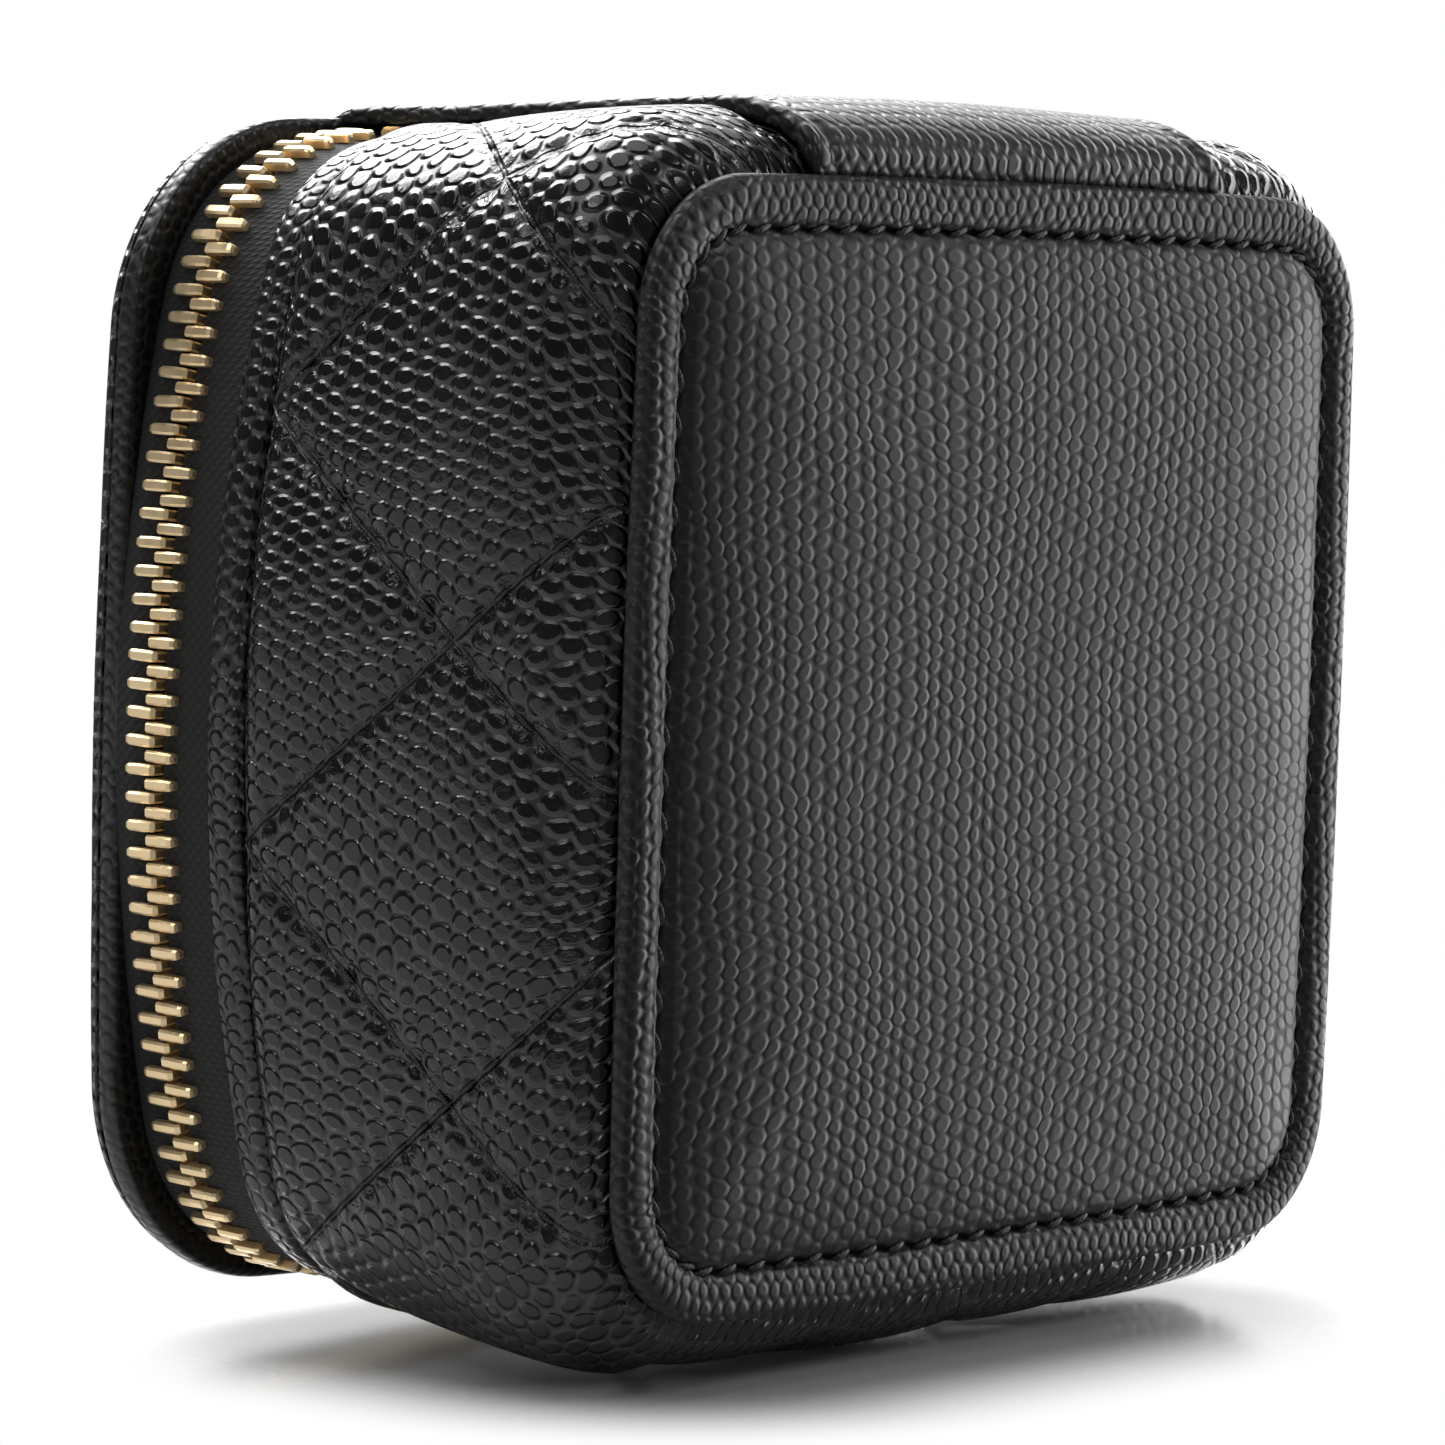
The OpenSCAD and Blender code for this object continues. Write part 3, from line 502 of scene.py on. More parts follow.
def repeated(name, pattern, points, run, out, finish, size_spread=0.0, turn_spread=0.0, seed=1):
    """A row of copies of the pattern piece, as one mesh. points are in millimetres."""
    row = mesh_piece(name + "_points", points, [], [])
    for label, values in (("run", run), ("out", out)):
        made = row.data.attributes.new(label, "FLOAT_VECTOR", "POINT")
        made.data.foreach_set("vector", np.asarray(values, np.float32).ravel())
    modifier = row.modifiers.new("pieces", "NODES")
    modifier.node_group = REPEAT
    values = {"Piece": pattern, "Size": 1.0, "Size spread": size_spread, "Turn spread": turn_spread,
              "Seed": seed, "Finish": finish}
    for item in REPEAT.interface.items_tree:
        if item.in_out == "INPUT" and item.name in values:
            modifier[item.identifier] = values[item.name]
    evaluated = row.evaluated_get(bpy.context.evaluated_depsgraph_get())
    made = bpy.data.meshes.new_from_object(evaluated)
    made.name = name
    for label in ("run", "out"):
        if label in made.attributes:
            made.attributes.remove(made.attributes[label])
    bpy.data.objects.remove(row)
    return linked(name, made)


def pattern_piece(name, points, faces, smooth=True):
    """A small mesh that the rows repeat. It isn't part of the object itself."""
    piece = mesh_piece(name, points, faces, [], smooth=smooth)
    bpy.context.scene.collection.objects.unlink(piece)
    return piece


def stitch_pattern(name, length, width, height):
    """One stitch: a thread that rises out of its needle hole, lies proud and goes down again."""
    rings, sides = 6, 6
    points, faces = [], []
    for t in np.linspace(-1, 1, rings):
        r = math.sqrt(1 - t * t * 0.92)
        for a in 2 * math.pi * np.arange(sides) / sides:
            points.append([t * length / 2, math.cos(a) * width / 2 * r,
                           math.sin(a) * height / 2 * r - height * 0.5 * t * t])
    for i in range(0, (rings - 1) * sides, sides):
        for a in range(sides):
            b = (a + 1) % sides
            faces.append([i + a, i + b, i + sides + b, i + sides + a])
    faces += [list(range(sides))[::-1], [(rings - 1) * sides + a for a in range(sides)]]
    return pattern_piece(name, points, faces)


stitch = stitch_pattern("long_stitch", 2.5, 0.62, 0.5)
fine_stitch = stitch_pattern("fine_stitch", 1.9, 0.42, 0.36)


def stitch_ring(name, outline, inset, z, pitch, lean, pattern, body, skip=None, down=False, seed=1):
    """A ring of slanted stitches along an outline, on its upright face or, with down, on its underside."""
    count = int(round(perimeter(outline) / pitch))
    s = perimeter(outline) * (np.arange(count) + 0.5) / count
    p, normal = along(outline, s, -inset)
    if skip is not None:
        keep = ~skip(p)
        p, normal, count = p[keep], normal[keep], int(keep.sum())
    tangent = np.column_stack([-normal[:, 1], normal[:, 0], np.zeros(count)])
    flat = np.column_stack([normal, np.zeros(count)])
    up = np.tile([0.0, 0.0, 1.0], (count, 1))
    across, out = (flat, -up) if down else (up, flat)
    run = tangent * math.cos(lean) + across * math.sin(lean)
    made = repeated(name, pattern, np.column_stack([p, np.full(count, z)]), run, out, thread,
                    size_spread=0.05, turn_spread=0.06, seed=seed)
    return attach(made, body)


# ---- base panel
def base_panel_piece():
    """One turned panel: a rounded border stretched over a cord, a tuck that is sewn down and a padded middle."""
    panel_in, panel_end = 4.6, 9.4
    corners = [
        (9.0, 1.55, 0), (0.9, 1.6, 0.5), (0.05, 1.5, 0.3), (-0.05, 0.95, 0.5), (0.15, 0.35, 0.35), (0.8, 0.1, 0.6),
        (1.9, 0.05, 0.8), (2.9, 0.15, 0.5), (3.4, 0.45, 0.2), (TUCK_IN, 1.05, 0.12), (4.0, 0.5, 0.15),
        (panel_in, 0.2, 0.4), (panel_end, -0.55, 0),
    ]
    line, far = soft_line(corners, 0.19)
    columns, middle_rows, lip_rows = 640, 40, 11
    total = perimeter(BASE_OUTLINE)
    s = total * np.arange(columns) / columns
    u_round = total * np.arange(columns + 1) / columns
    beat = 2 * math.pi * STITCHES * s / total
    rings, us, vs, slots = [], [], [], []

    def padded_level(inset):
        return 0.2 - 0.95 * (1 - math.exp(-max(0.0, inset - panel_in) / 4.5))

    def next_row(p, z, around=None):
        """Adds a row; its map is the panel laid flat or, with around, the border unrolled."""
        loop = np.vstack([p, p[:1]])
        rings.append(np.column_stack([p, z]))
        us.append(loop[:, 0] if around is None else u_round)
        vs.append(loop[:, 1] if around is None else np.full(columns + 1, around))
        slots.append(int(around is None))

    for n, (inset, z) in enumerate(line):
        underside = z < 1.2
        # the thread pulls the tuck to and fro between the stitches
        near = math.exp(-((inset - TUCK_IN) / 0.55) ** 2) if underside else 0.0
        p, _ = along(BASE_OUTLINE, s, -inset - near * 0.13 * np.sin(beat))
        level = padded_level(inset) if underside and inset > panel_in else z
        # further in than the tuck the finish is the panel's, but for the first rows of the hidden lip
        on_panel = n >= lip_rows and inset > TUCK_IN
        next_row(p, level + near * 0.1 * np.sin(beat * 2 + 1.3), None if on_panel else far[n])
    inner = rings[-1][:, :2]
    for share in np.arange(1, middle_rows + 1) / middle_rows:
        next_row(inner * (1 - share), np.full(columns, padded_level(panel_end + 30 * share)))
    return loft("base_leather", rings, np.array(us), np.array(vs), [border_leather, panel_leather],
                row_slots=slots[:-1])


fitted(base_panel_piece(), "case_body", "base_leather", "base_panel")
stitch_ring("base_stitching", BASE_OUTLINE, TUCK_IN, 0.62, perimeter(BASE_OUTLINE) / STITCHES, 0.34, stitch,
            "case_body", down=True)


# ---- quilted wall
def quilted(z, s, seam_depth=0.0):
    """Points of the wall's outer face at distances s along its outline at height z, their outward directions, and the
    two counts of the seams."""
    o = wall_outline(z)
    lengths = arc_lengths(o)
    diamond = lengths.sum() / DIAMONDS
    start = lengths[:2].sum() + lengths[2] / 2 + QUILT_SHIFT - diamond / 2
    p, normal = along(o, s)
    across = (s - start) / diamond
    down = (WELT_Z - z) / DIAMOND_H
    one, other = across + down, across - down
    pillow = np.abs(np.sin(np.pi * one) * np.sin(np.pi * other))
    near = np.minimum(np.abs(one - np.round(one)), np.abs(other - np.round(other))) * SEAM_GAP
    # the thread pulls the leather in, in small puckers between the stitches
    pull = np.exp(-(near / 1.3) ** 2) * (0.22 + 0.09 * np.sin((one - other * 0.7) * 58))
    fade = np.where((p[:, 1] > 0) & (np.abs(p[:, 0]) < STRAP_W / 2 + 2), 0, min(1, (z - BASE_T) / 6))
    foot_dip = 0.35 * math.exp(-((z - BASE_T) / 0.5) ** 2)
    out = (QUILT_PUFF * (0.42 + 0.66 * pillow ** 0.6) - pull) * fade - foot_dip - seam_depth
    # and it dips into the seam below the rim
    out = out * min(1, max(0, (WELT_Z - z) / 2.2)) ** 0.5 - 0.4 * math.exp(-((z - WELT_Z) / 0.7) ** 2)
    return np.column_stack([p + normal * out[:, None], np.full(len(p), z)]), normal, one, other


def wall_piece():
    columns, rows = 940, 96
    share = 0.5 + np.arange(columns + 1) / columns
    rings, ones, others = [], [], []
    top = WELT_Z + 0.25
    heights = np.r_[BASE_T + 0.05, BASE_T + 0.35, np.linspace(BASE_T + 0.8, top, rows - 2)]
    for z in heights:
        # columns start at the middle of the back, so that the flat map's seam lies under the strap
        ring, _, one, other = quilted(z, perimeter(wall_outline(z)) * share)
        rings.append(ring[:-1])
        ones.append(one)
        others.append(other)
    rings += [wall_row(z, share[:-1], WALL_T) for z in (top, 25.6, 13.6, 7.6, 3.6, BASE_T + 0.05)]
    rings = np.array(rings + rings[:1])
    no_seam = [np.full(columns + 1, 0.5)] * (len(rings) - len(heights))
    climb = run_along(rings[:, columns // 4])
    u = perimeter(wall_outline(18)) * np.arange(columns + 1) / columns
    return loft("quilted_leather_wall", rings, u, climb, [wall_leather],
                quilt=(np.array(ones + no_seam), np.array(others + no_seam)))


def quilting_stitches():
    """The thread of the quilting: short stitches along every seam of the walls."""
    points, runs, outs = [], [], []
    for lean in (-1, 1):
        for seam in range(-2, DIAMONDS + 2):
            line = []
            for z in np.linspace(BASE_T + 0.8, WELT_Z + 0.1, 15):
                _, _, one, other = quilted(z, np.array([0.0]))
                share = seam - (one if lean > 0 else other)[0]
                if 0 <= share < DIAMONDS:
                    s = perimeter(wall_outline(z)) * share / DIAMONDS
                    p, normal, _, _ = quilted(z, np.array([s]), -0.04)
                    if not (p[0, 1] > 0 and abs(p[0, 0]) < STRAP_W / 2 + 1):
                        line.append((p[0], np.r_[normal[0], 0]))
            for (here, out), (there, _) in zip(line, line[1:]):
                step = there - here
                if np.linalg.norm(step) < 6:
                    points.append((here + there) / 2)
                    runs.append(step / np.linalg.norm(step))
                    outs.append(out)
    made = repeated("quilting_thread", fine_stitch, points, np.array(runs), np.array(outs), thread,
                    size_spread=0.06, seed=4)
    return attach(made, "case_body")


fitted(wall_piece(), "case_body", "quilted_leather", "quilted_wall")
quilting_stitches()

# ---- rim band
fitted(band("rim_leather", RIM_OUTLINE, [
    (2.15, 33.45, 0), (0.9, 33.4, 0.2), (0.3, 33.45, 0.3), (-0.05, 33.95, 0.5), (-0.12, 35.4, 0.8),
    (0.2, 36.95, 0.45), (0.8, 37.2, 0.4), (4.2, 37.15, 0.3), (4.38, 36.8, 0.15), (4.3, 36.5, 0.1), (2.3, 36.42, 0.2),
    (2.15, 36.0, 0.2), (2.15, 33.45, 0),
], rim_leather, columns=560), "case_body", "trim_leather", "rim_band")


def under_strap(p):
    return (p[:, 1] > 0) & (np.abs(p[:, 0]) < STRAP_W / 2 + 0.5)


stitch_ring("rim_stitching", RIM_OUTLINE, 0.52, 33.95, 3.2, 0.16, stitch, "case_body", skip=under_strap, seed=2)


# ---- zip
def tape_piece(name, z0, z1, body, node_name):
    """A woven tape on the zip line, open at the back where the strap is."""
    half = perimeter(ZIP_OUTLINE) / 2 - zip_hidden_by_strap()
    s = np.linspace(-half, half, 420)
    t = TAPE_HALF
    line, far = soft_line([(t, z0, 0), (t, z1 - 0.1, 0.1), (0.1, z1, 0.1), (-0.1, z1, 0.1), (-t, z1 - 0.1, 0.1),
                           (-t, z0 + 0.1, 0.1), (-0.1, z0, 0.1), (t, z0, 0)], 0.3)
    made = loft(name, [level_ring(ZIP_OUTLINE, s, inset, z) for inset, z in line[::-1]], s, far, [zip_tape],
                around=False)
    return fitted(made, body, "zip_tape", node_name)


tape_piece("body_side_tape", RIM_Z - TAPE_TUCK, ZIP_Z - TAPE_BELOW_ZIP, "case_body", "body_zip_tape")
tape_piece("lid_side_tape", ZIP_Z + TAPE_BELOW_ZIP, LID_UNDER_Z + TAPE_TUCK, "lid", "lid_zip_tape")


def tooth_pattern():
    """One tooth: wire bent into a hairpin that is pressed over the tape's edge. Its own X runs along the zip,
    Z out of the case and Y towards the other row."""
    half, w, bevel = TOOTH_T / 2, TOOTH_W / 2, 0.16
    section = [(-w, bevel), (-w + bevel, 0.0), (w - bevel, 0.0), (w, bevel)]
    path = [(-TOOTH_LEG, half - 0.34), (-TOOTH_LEG + 0.12, half - 0.1), (-TOOTH_LEG + 0.42, half), (-0.7, half),
            (TOOTH_HEAD - 0.28, half - 0.02), (TOOTH_HEAD, half - 0.3)]
    path += [(y, -z) for y, z in path[::-1]]
    inner = [(y if abs(y - TOOTH_HEAD) > 1e-6 else y - 0.75, z * 0.36 / half) for y, z in path]
    # the legs are pressed narrower towards their ends, where they grip the tape
    widths = np.interp([y for y, z in path], [-TOOTH_LEG, -TOOTH_LEG + 0.12, -TOOTH_LEG + 0.42, -0.7, 0],
                       [0.6, 0.84, 1.0, 1.06, 1])
    points, faces = [], []
    for (y, z), (iy, iz), wide in zip(path, inner, widths):
        d = np.array([y - iy, z - iz])
        d = d / np.linalg.norm(d)
        points += [[x * wide, y - d[0] * deep, z - d[1] * deep] for x, deep in section]
        points += [[w * wide, iy, iz], [-w * wide, iy, iz]]
    n = len(section) + 2
    for k in range(0, (len(path) - 1) * n, n):
        for a in range(n):
            b = (a + 1) % n
            faces.append([k + a, k + b, k + n + b, k + n + a])
    faces += [list(range(n))[::-1], [(len(path) - 1) * n + a for a in range(n)]]
    return pattern_piece("hairpin_tooth", points, faces, smooth=False)


tooth = tooth_pattern()


def teeth_row(name, shift, way, body, node_name):
    total = perimeter(ZIP_OUTLINE)
    a, lengths = arcs(ZIP_OUTLINE), arc_lengths(ZIP_OUTLINE)
    # closed, the slider stands at the back end of the -X side's arc, and on that side the teeth end in front of it
    slider_half = SLIDER_L / 2 / a[6][2]
    left_end = lengths[:6].sum() + a[6][2] * (slider_half + math.radians(0.6) + slider_half)
    first = 1 - math.floor((total - left_end) / TOOTH_PITCH)
    last = math.floor((total / 2 - zip_hidden_by_strap() - 1) / TOOTH_PITCH) - 1
    s = (np.arange(first, last + 1) + shift) * TOOTH_PITCH
    p, normal = along(ZIP_OUTLINE, s)
    level = np.zeros(len(s))
    # the piece's own Y is out x run, so the run is turned round for the lid's row
    made = repeated(name, tooth, np.column_stack([p, level + ZIP_Z]),
                    np.column_stack([-normal[:, 1], normal[:, 0], level]) * way, np.column_stack([normal, level]),
                    gold_metal, turn_spread=0.03, seed=5)
    return fitted(made, body, "zip_metal", node_name)


teeth_row("body_side_teeth", 0, 1, "case_body", "body_zip_teeth")
teeth_row("lid_side_teeth", 0.5, -1, "lid", "lid_zip_teeth")

# ---- lid
fitted(band("lid_side_leather", LID_OUTLINE, [
    (3.3, 46.75, 0), (3.2, 46.62, 0.1), (0.6, 46.6, 0.3), (0.06, 46.75, 0.3), (-0.02, 47.6, 0.7), (0.08, 48.35, 0.3),
    (0.42, 48.55, 0.15), (0.55, 48.85, 0.15), (1.15, 48.85, 0.1), (1.2, 47.5, 0.1), (3.3, 47.45, 0.1), (3.3, 46.75, 0),
], trim_leather), "lid", "trim_leather", "lid_band")


def lid_top_piece():
    """The lid's padded top: a low dome on a grid between the four sides, quilted along the grid's diagonals."""
    n = 216
    total = perimeter(LID_OUTLINE)
    k = np.arange(n + 1)

    def edge(steps):
        return along(LID_OUTLINE, total * (steps + n / 2) / (4 * n), -0.4)[0]

    u, v = (k / n)[None, :, None], (k / n)[:, None, None]
    front, back, left, right = edge(k - n)[None], edge(2 * n - k)[None], edge(3 * n - k)[:, None], edge(k)[:, None]
    flat = (1 - v) * front + v * back + (1 - u) * left + u * right \
        - (1 - u) * ((1 - v) * front[:, :1] + v * back[:, :1]) - u * ((1 - v) * front[:, -1:] + v * back[:, -1:])
    u, v = u[..., 0], v[..., 0]
    one, other = LID_DIAMONDS * (u + v), LID_DIAMONDS * (u - v)
    share = (1 - np.abs(2 * u - 1) ** 2.6) * (1 - np.abs(2 * v - 1) ** 2.6)
    pillow = np.abs(np.sin(np.pi * one)) * np.abs(np.sin(np.pi * other))
    puff = QUILT_PUFF * pillow ** 0.42 * np.minimum(1, share * 4)
    z = LID_EDGE_Z + 0.2 + (LID_RISE - QUILT_PUFF - 0.1) * np.sqrt(share) + puff
    points = np.dstack([flat, z]).reshape(-1, 3)
    side = n + 1
    border = np.r_[np.arange(n), np.arange(n) * side + n, n * side + np.arange(n, 0, -1), np.arange(n, 0, -1) * side]
    foot = points[border] * [1, 1, 0] + [0, 0, LID_EDGE_Z]
    j, i = np.meshgrid(np.arange(n), np.arange(n), indexing="ij")
    c = (j * side + i).ravel()
    faces = np.column_stack([c, c + 1, c + 1 + side, c + side]).tolist()
    ring = side * side + np.arange(4 * n)
    faces += np.column_stack([ring, np.roll(ring, -1), np.roll(border, -1), border]).tolist()
    faces.append(ring[::-1].tolist())
    points = np.concatenate([points, foot])
    corners = np.concatenate(faces)
    seams = np.concatenate([np.column_stack([one.ravel(), other.ravel()]), np.full((4 * n, 2), 0.5)])
    return mesh_piece("lid_quilted_leather", points, faces, [lid_leather], points[corners, :2], quilt=seams[corners])


fitted(lid_top_piece(), "lid", "quilted_leather", "lid_panel")


# ---- hinge strap
def back_face(o, x):
    """How far an outline's back lies behind its middle, at distances x from the middle."""
    p, _ = along(o, perimeter(o) * np.linspace(0.4, 0.6, 121))
    order = np.argsort(p[:, 0])
    return np.interp(x, p[order, 0], p[order, 1]) - o[1]


def strap_piece():
    """One leather strap from under the base panel, up the back and over the fold to the lid, close to the back's
    bow."""
    fold = RIM_OUTLINE[1] + WALL_CLEAR
    lid_back = LID_OUTLINE[1] + WALL_CLEAR
    heights = np.r_[BASE_T - 0.1, np.linspace(BASE_T + 0.3, RIM_Z, 60)]
    walls = [wall_outline(max(z, BASE_T)) for z in heights]
    # how far back the strap's inner face lies, its height, and the outline whose bow it follows
    track = [(o[1] + WALL_CLEAR, z, o) for z, o in zip(heights, walls)]
    track += [(fold, z, RIM_OUTLINE) for z in np.linspace(RIM_Z + 0.5, ZIP_Z, 8)]
    track += [(fold + (lid_back - fold) * t, ZIP_Z + (LID_UNDER_Z - ZIP_Z) * t, RIM_OUTLINE)
              for t in np.linspace(0.15, 1, 6)]
    track += [(lid_back, z, RIM_OUTLINE) for z in np.linspace(LID_UNDER_Z + 0.4, LID_EDGE_Z + 0.2, 6)]
    inner = np.array([t[:2] for t in track])
    step = np.gradient(inner, axis=0)
    normal = np.column_stack([step[:, 1], -step[:, 0]])
    normal /= np.linalg.norm(normal, axis=1)[:, None]
    w = STRAP_W / 2
    # across the strap: a rounded edge with a ridge, a row of stitches and a gently crowned middle
    left_half = [(-w, 0.1, 0), (-w, 1.2, 0.3), (-w + 0.5, 1.5, 0.4), (-w + 1.6, 1.35, 0.4), (-w + 2.0, 1.15, 0.2),
                 (-w + 2.5, 1.4, 0.4)]
    across, _ = soft_line(left_half + [(0, 1.5, 6)] + [(-x, out, r) for x, out, r in left_half[::-1]], 0.3)
    across = np.vstack([across, [[w * 0.6, 0.05], [0, 0.05], [-w * 0.6, 0.05]]])
    far = run_along(inner)
    taper = np.minimum(1.0, np.minimum(0.45 + far / 3, 0.2 + (far[-1] - far) / 3.4))
    rings = [np.column_stack([across[:, 0], p[0] + back_face(t[2], across[:, 0]) + n[0] * across[:, 1] * h,
                              p[1] + n[1] * across[:, 1] * h]) for p, n, t, h in zip(inner, normal, track, taper)]
    u = run_along(np.concatenate([rings[20], rings[20][:1]]))
    return loft("hinge_strap_leather", rings, u, far, [strap_leather])


strap = strap_piece()
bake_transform(strap)
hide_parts("back_strap", "lid_strap")


# ---- lining
def body_lining_piece():
    """The lining of the body: a skin up the inside of the board and across the floor."""
    share = np.arange(360) / 360
    heights = np.linspace(LINING_FOOT, BOARD_TOP, 24)
    rings = [wall_row(z, share, LINING_IN) for z in heights]
    rings += [wall_row(z, share, INSIDE_IN) for z in np.maximum(heights[::-1], FLOOR_Z)]
    rings.append(rings[-1] * [0.02, 0.02, 1])
    return loft("body_lining_cloth", rings, np.linspace(0, perimeter(BASE_OUTLINE), len(share) + 1),
                run_along(np.array(rings)[:, 0]), [lining_cloth])


fitted(body_lining_piece(), "case_body", "lining", "body_lining")


# ---- padding
def box_mm(node_name):
    """The middle of a node's box, and half its size."""
    low, high = (np.array(list(c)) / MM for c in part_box(node_name))
    return (low + high) / 2, (high - low) / 2


def roll_piece(k):
    """A ring roll: foam wrapped in microfibre, which is drawn in at the ends and lies in soft folds there."""
    middle, (reach, w, h) = box_mm(f"ring_roll_{k}")
    section, _ = soft_line([(0, -h, 0), (-w, -h, 2.2), (-w, h, 5.2), (w, h, 5.2), (w, -h, 2.2), (0, -h, 0)], 0.7)
    section = section[:-1]
    turn = 2 * math.pi * np.arange(len(section)) / len(section)
    rounding, pleats = 3.2, 17
    # places along the roll, and how far it is drawn in there
    end = [(reach - rounding + rounding * math.sin(a), rounding * (1 - math.cos(a)))
           for a in np.linspace(0, math.pi / 2, 9)]
    places = [(x, 0.0) for x in np.linspace(0, reach - rounding, 34)[1:-1]] + end
    places = [(-x, inset) for x, inset in places[::-1]] + [(0.0, 0.0)] + places
    rings = []
    for x, inset in places:
        shrink = np.array([(w - inset) / w, (h - inset) / h])
        folds = 0.28 * math.exp(-(reach - abs(x)) / 2.4) * np.cos(pleats * turn + k) \
            + 0.10 * np.sin(0.31 * x + 2 * turn + k) + 0.06 * np.sin(0.83 * x - 3 * turn + 2 * k)
        p = section * shrink * (1 - (0.16 - np.minimum(folds, 0.16))[:, None] / w)
        rings.append(np.column_stack([np.full(len(p), x), p]) + middle)
    for grow in (-1, 1):
        edge = rings[0 if grow < 0 else -1] - middle
        cap = []
        for t in np.linspace(0, 1, 9)[1:]:
            p = edge * np.array([1, 1 - t, 1 - t]) + middle
            p[:, 0] -= grow * (0.15 - 0.15 * (1 - t) ** 2) * 4 * (1 - 0.4 * np.cos(pleats * turn + k) * (1 - t))
            cap.append(p)
        rings = cap[::-1] + rings if grow < 0 else rings + cap
    made = loft(f"ring_roll_{k}_microfibre", rings, 0.7 * np.arange(len(section) + 1),
                np.linspace(0, 2 * reach, len(rings)), [roll_cloth])
    fitted(made, "case_body", "padded_fabric", f"ring_roll_{k}")


for roll in (1, 2, 3):
    roll_piece(roll)


def floor_pad_piece():
    """The pad on the floor of the open bay: a thin crowned cushion, sewn down in a line along its edge."""
    middle, half = box_mm("floor_pad")
    outline = [half[0] - 0.1, half[1] - 0.1, 8.0, 0.3, 0.3]
    columns, seam_in, puckers = 300, 2.6, 72
    s = perimeter(outline) * np.arange(columns) / columns
    profile, _ = soft_line([(3.0, 0, 0), (0.4, 0, 0.4), (0, 0.7, 0.5), (0.5, 1.35, 0.6), (1.9, 1.5, 0.5),
                            (seam_in, 1.0, 0.3), (3.4, 1.6, 0.6), (6.5, 2.1, 0)], 0.3)
    wave = np.sin(2 * math.pi * puckers * np.arange(columns) / columns)
    rings = [level_ring(outline, s, inset, z) + np.outer(
        0.12 * math.exp(-((inset - seam_in) / 0.8) ** 2) * (z > 0.5) * wave, [0, 0, 1]) for inset, z in profile]
    first, last = rings[0], rings[-1]
    below = [first * np.array([t, t, 1]) for t in np.linspace(0, 1, 8)[:-1]]
    above = []
    for t in np.linspace(0, 1, 26)[1:]:
        p = last * np.array([1 - t, 1 - t, 1])
        p[:, 2] += 0.55 * t * (2 - t) + 0.1 * np.sin(p[:, 0] * 0.35) * np.sin(p[:, 1] * 0.4 + 1) * t
        above.append(p)
    rings = np.array(below + rings + above) + middle - [0, 0, half[2]]
    made = loft("floor_pad_microfibre", rings, s[1] * np.arange(columns + 1), np.linspace(0, 60, len(rings)),
                [roll_cloth])
    fitted(made, "case_body", "padded_fabric", "floor_pad")


floor_pad_piece()


# ---- rounded edges
def softened(node_name, body, name, slot, finish, width):
    """A CAD node with its edges rounded off by a width in millimetres, and a flat map from six sides."""
    work = bmesh.new()
    work.from_mesh(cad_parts[node_name].data)
    bmesh.ops.remove_doubles(work, verts=work.verts, dist=1e-6)
    bmesh.ops.dissolve_limit(work, angle_limit=math.radians(2), verts=work.verts, edges=work.edges)
    sharp = [e for e in work.edges if e.is_manifold and e.calc_face_angle() > math.radians(33)]
    bmesh.ops.bevel(work, geom=sharp, offset=width * MM, segments=3, profile=0.5, affect="EDGES", clamp_overlap=True)
    bmesh.ops.dissolve_degenerate(work, edges=work.edges, dist=1e-6)
    bmesh.ops.triangulate(work, faces=work.faces)
    layer = work.loops.layers.uv.new("flat")
    for face in work.faces:
        face.smooth = True
        axis = max(range(3), key=lambda i: abs(face.normal[i]))
        for corner in face.loops:
            at = corner.vert.co
            corner[layer].uv = (at[(axis + 1) % 3] / MM, at[(axis + 2) % 3] / MM)
    mesh = bpy.data.meshes.new(name)
    work.to_mesh(mesh)
    work.free()
    mesh.materials.append(finish)
    mesh.set_sharp_from_angle(angle=math.radians(50))
    return fitted(linked(name, mesh), body, slot, node_name)


softened("slider", "slider", "slider_casting", "zip_metal", gold_metal, 0.18)
softened("puller", "puller", "puller_casting", "zip_metal", gold_metal, 0.2)
softened("pull_tab", "puller", "pull_tab_leather", "trim_leather", trim_leather, 0.22)
softened("divider", "case_body", "divider_microfibre", "lining", lining_cloth, 0.6)
softened("mirror_frame", "lid", "mirror_frame_leather", "trim_leather", trim_leather, 0.35)
softened("lid_lining", "lid", "lid_lining_cloth", "lining", lining_cloth, 0.2)

# ---- camera, floor and light
CAMERA_AT = Vector((337.44, 34.30, -272.86)) * MM
RIGHT = Vector((-0.667, 0.0332, -0.7443)).normalized()
FORWARD = Vector((-0.7442, -0.078, 0.6634)).normalized()
UP = RIGHT.cross(FORWARD).normalized()
FOCAL_PIXELS, IMAGE_PIXELS = 6095.4, 1445
camera = linked("camera", bpy.data.cameras.new("camera"))
camera.data.sensor_width = 36
camera.data.lens = FOCAL_PIXELS / IMAGE_PIXELS * 36
camera.data.clip_start = 0.01
camera.data.clip_end = 20
camera.matrix_world = Matrix([
    [RIGHT[i], UP[i], -FORWARD[i], CAMERA_AT[i]] for i in range(3)] + [[0, 0, 0, 1]])
bpy.context.scene.camera = camera


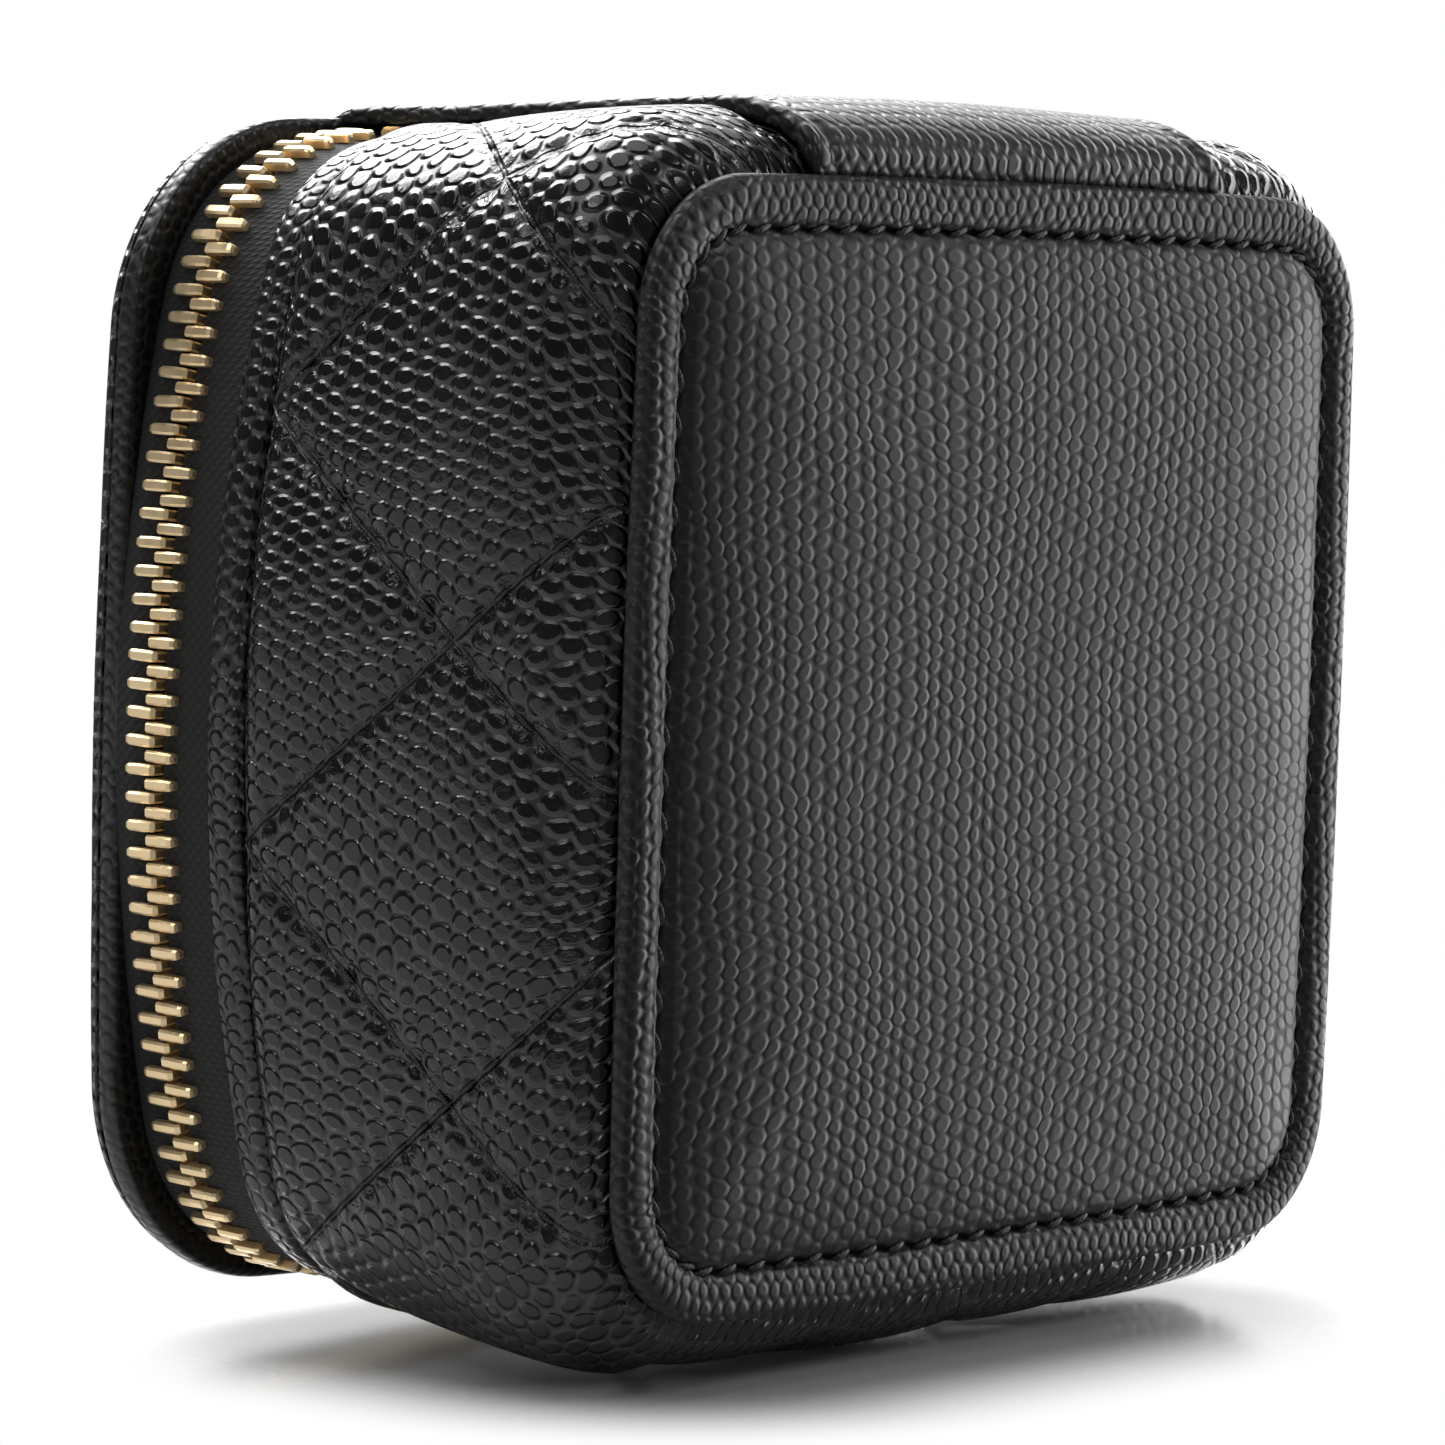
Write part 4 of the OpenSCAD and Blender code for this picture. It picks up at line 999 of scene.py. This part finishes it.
def studio_floor(name, point, normal, centre, half, fade_from, fade_to, seen_only=False):
    """Pale gloss acrylic under the case, which fades out into the white backdrop with the distance from a box. Near
    the case its grey stands darker than the backdrop: painted shadow, on top of the real shadow that falls on it. Its
    underside isn't seen, and with seen_only nor do its shade and reflection fall on the case."""
    m, tree = new_material(name + "_acrylic")
    acrylic = add(tree, "ShaderNodeBsdfPrincipled", {"Base Color": linear("#C4C4C4"), "Roughness": 0.16, "IOR": 1.7})
    place = add(tree, "ShaderNodeNewGeometry").outputs
    far = add(tree, "ShaderNodeVectorMath", {0: place["Position"], 1: centre}, operation="SUBTRACT")
    far = add(tree, "ShaderNodeVectorMath", {0: far}, operation="ABSOLUTE")
    far = add(tree, "ShaderNodeVectorMath", {0: far, 1: half}, operation="SUBTRACT")
    far = add(tree, "ShaderNodeVectorMath", {0: far, 1: (0, 0, 0)}, operation="MAXIMUM")
    far = add(tree, "ShaderNodeVectorMath", {0: far}, operation="LENGTH").outputs["Value"]
    # the fade paints a shadow: the grey floor stays opaque near the case and clears into the white backdrop further
    # off
    fade = add(tree, "ShaderNodeMapRange", {0: far, 1: fade_from, 2: fade_to}, interpolation_type="SMOOTHSTEP")
    fade = add(tree, "ShaderNodeMath", {0: fade, 1: place["Backfacing"]}, operation="MAXIMUM")
    surfaced(m, {0: fade, 1: acrylic, 2: add(tree, "ShaderNodeBsdfTransparent")}, "ShaderNodeMixShader")
    n = Vector(normal).normalized()
    a = n.orthogonal().normalized()
    b = n.cross(a)
    reach = 0.6
    corners = [(Vector(point) + (a * x + b * y) * reach) / MM for x, y in ((-1, -1), (1, -1), (1, 1), (-1, 1))]
    floor = mesh_piece(name, corners, [range(4)], [m], smooth=False)
    if seen_only:
        for way in ("visible_diffuse", "visible_glossy", "visible_transmission", "visible_shadow"):
            setattr(floor, way, False)


# the fade distances set how far the painted shadow reaches round the case
studio_floor("floor_under_front", (0, -0.0447, 0.02), (0, 1, 0.03), (0, -0.0447, 0.022), (0.022, 0.01, 0.010),
             0.014, 0.034)
studio_floor("floor_under_base", (0, 0, -0.0012), (0, 0, 1), (0, 0, 0), (0.03, 0.03, 0.01), 0.02, 0.2,
             seen_only=True)

# each light's place from the middle of the case, its width and height in metres and its power in watts
MIDDLE = Vector((0, -0.003, 0.026))
for light_name, way, width, height, power in (
    ("backdrop", FORWARD * 1.4 + Vector((0, 0.5, 0)), 2.6, 1.7, 18),
    ("back_softbox", Vector((-0.31, 0.73, 0.73)), 1.0, 0.65, 20),
    ("overhead_softbox", Vector((0.25, 0.95, 0.2)), 1.0, 0.8, 4),
    ("left_key", Vector((0.70, 0.58, 0.12)), 0.26, 0.22, 0.9),
    ("right_key", Vector((-0.25, 0.7, -0.62)), 0.3, 0.3, 1.8),
    ("right_reflector", Vector((-1.1, 0.0, 0.02)), 1.0, 1.4, 17),
    ("left_reflector", Vector((0.9, -0.02, -0.6)), 0.6, 0.9, 0.25),
    ("table_glow", Vector((0.1, -0.35, 0.1)), 1.6, 1.6, 5.5),
):
    lamp = bpy.data.lights.new(light_name, "AREA")
    lamp.shape = "RECTANGLE"
    lamp.size, lamp.size_y, lamp.energy = width, height, power
    light = linked(light_name, lamp)
    light.location = MIDDLE + way
    light.rotation_euler = (-way).to_track_quat("-Z", "Y").to_euler()
    light.visible_camera = False

world = bpy.data.worlds.new("white_studio")
bpy.context.scene.world = world
world.use_nodes = True
tree = world.node_tree
tree.nodes.clear()
path = add(tree, "ShaderNodeLightPath").outputs
strength = add(tree, "ShaderNodeMapRange", {0: path["Is Camera Ray"], 1: 0.0, 2: 1.0, 3: 0.12, 4: 1.0})
sky = add(tree, "ShaderNodeBackground", {"Color": (1, 1, 1, 1), "Strength": strength})
add(tree, "ShaderNodeOutputWorld", {"Surface": sky})
bpy.context.scene.view_settings.view_transform = "Standard"
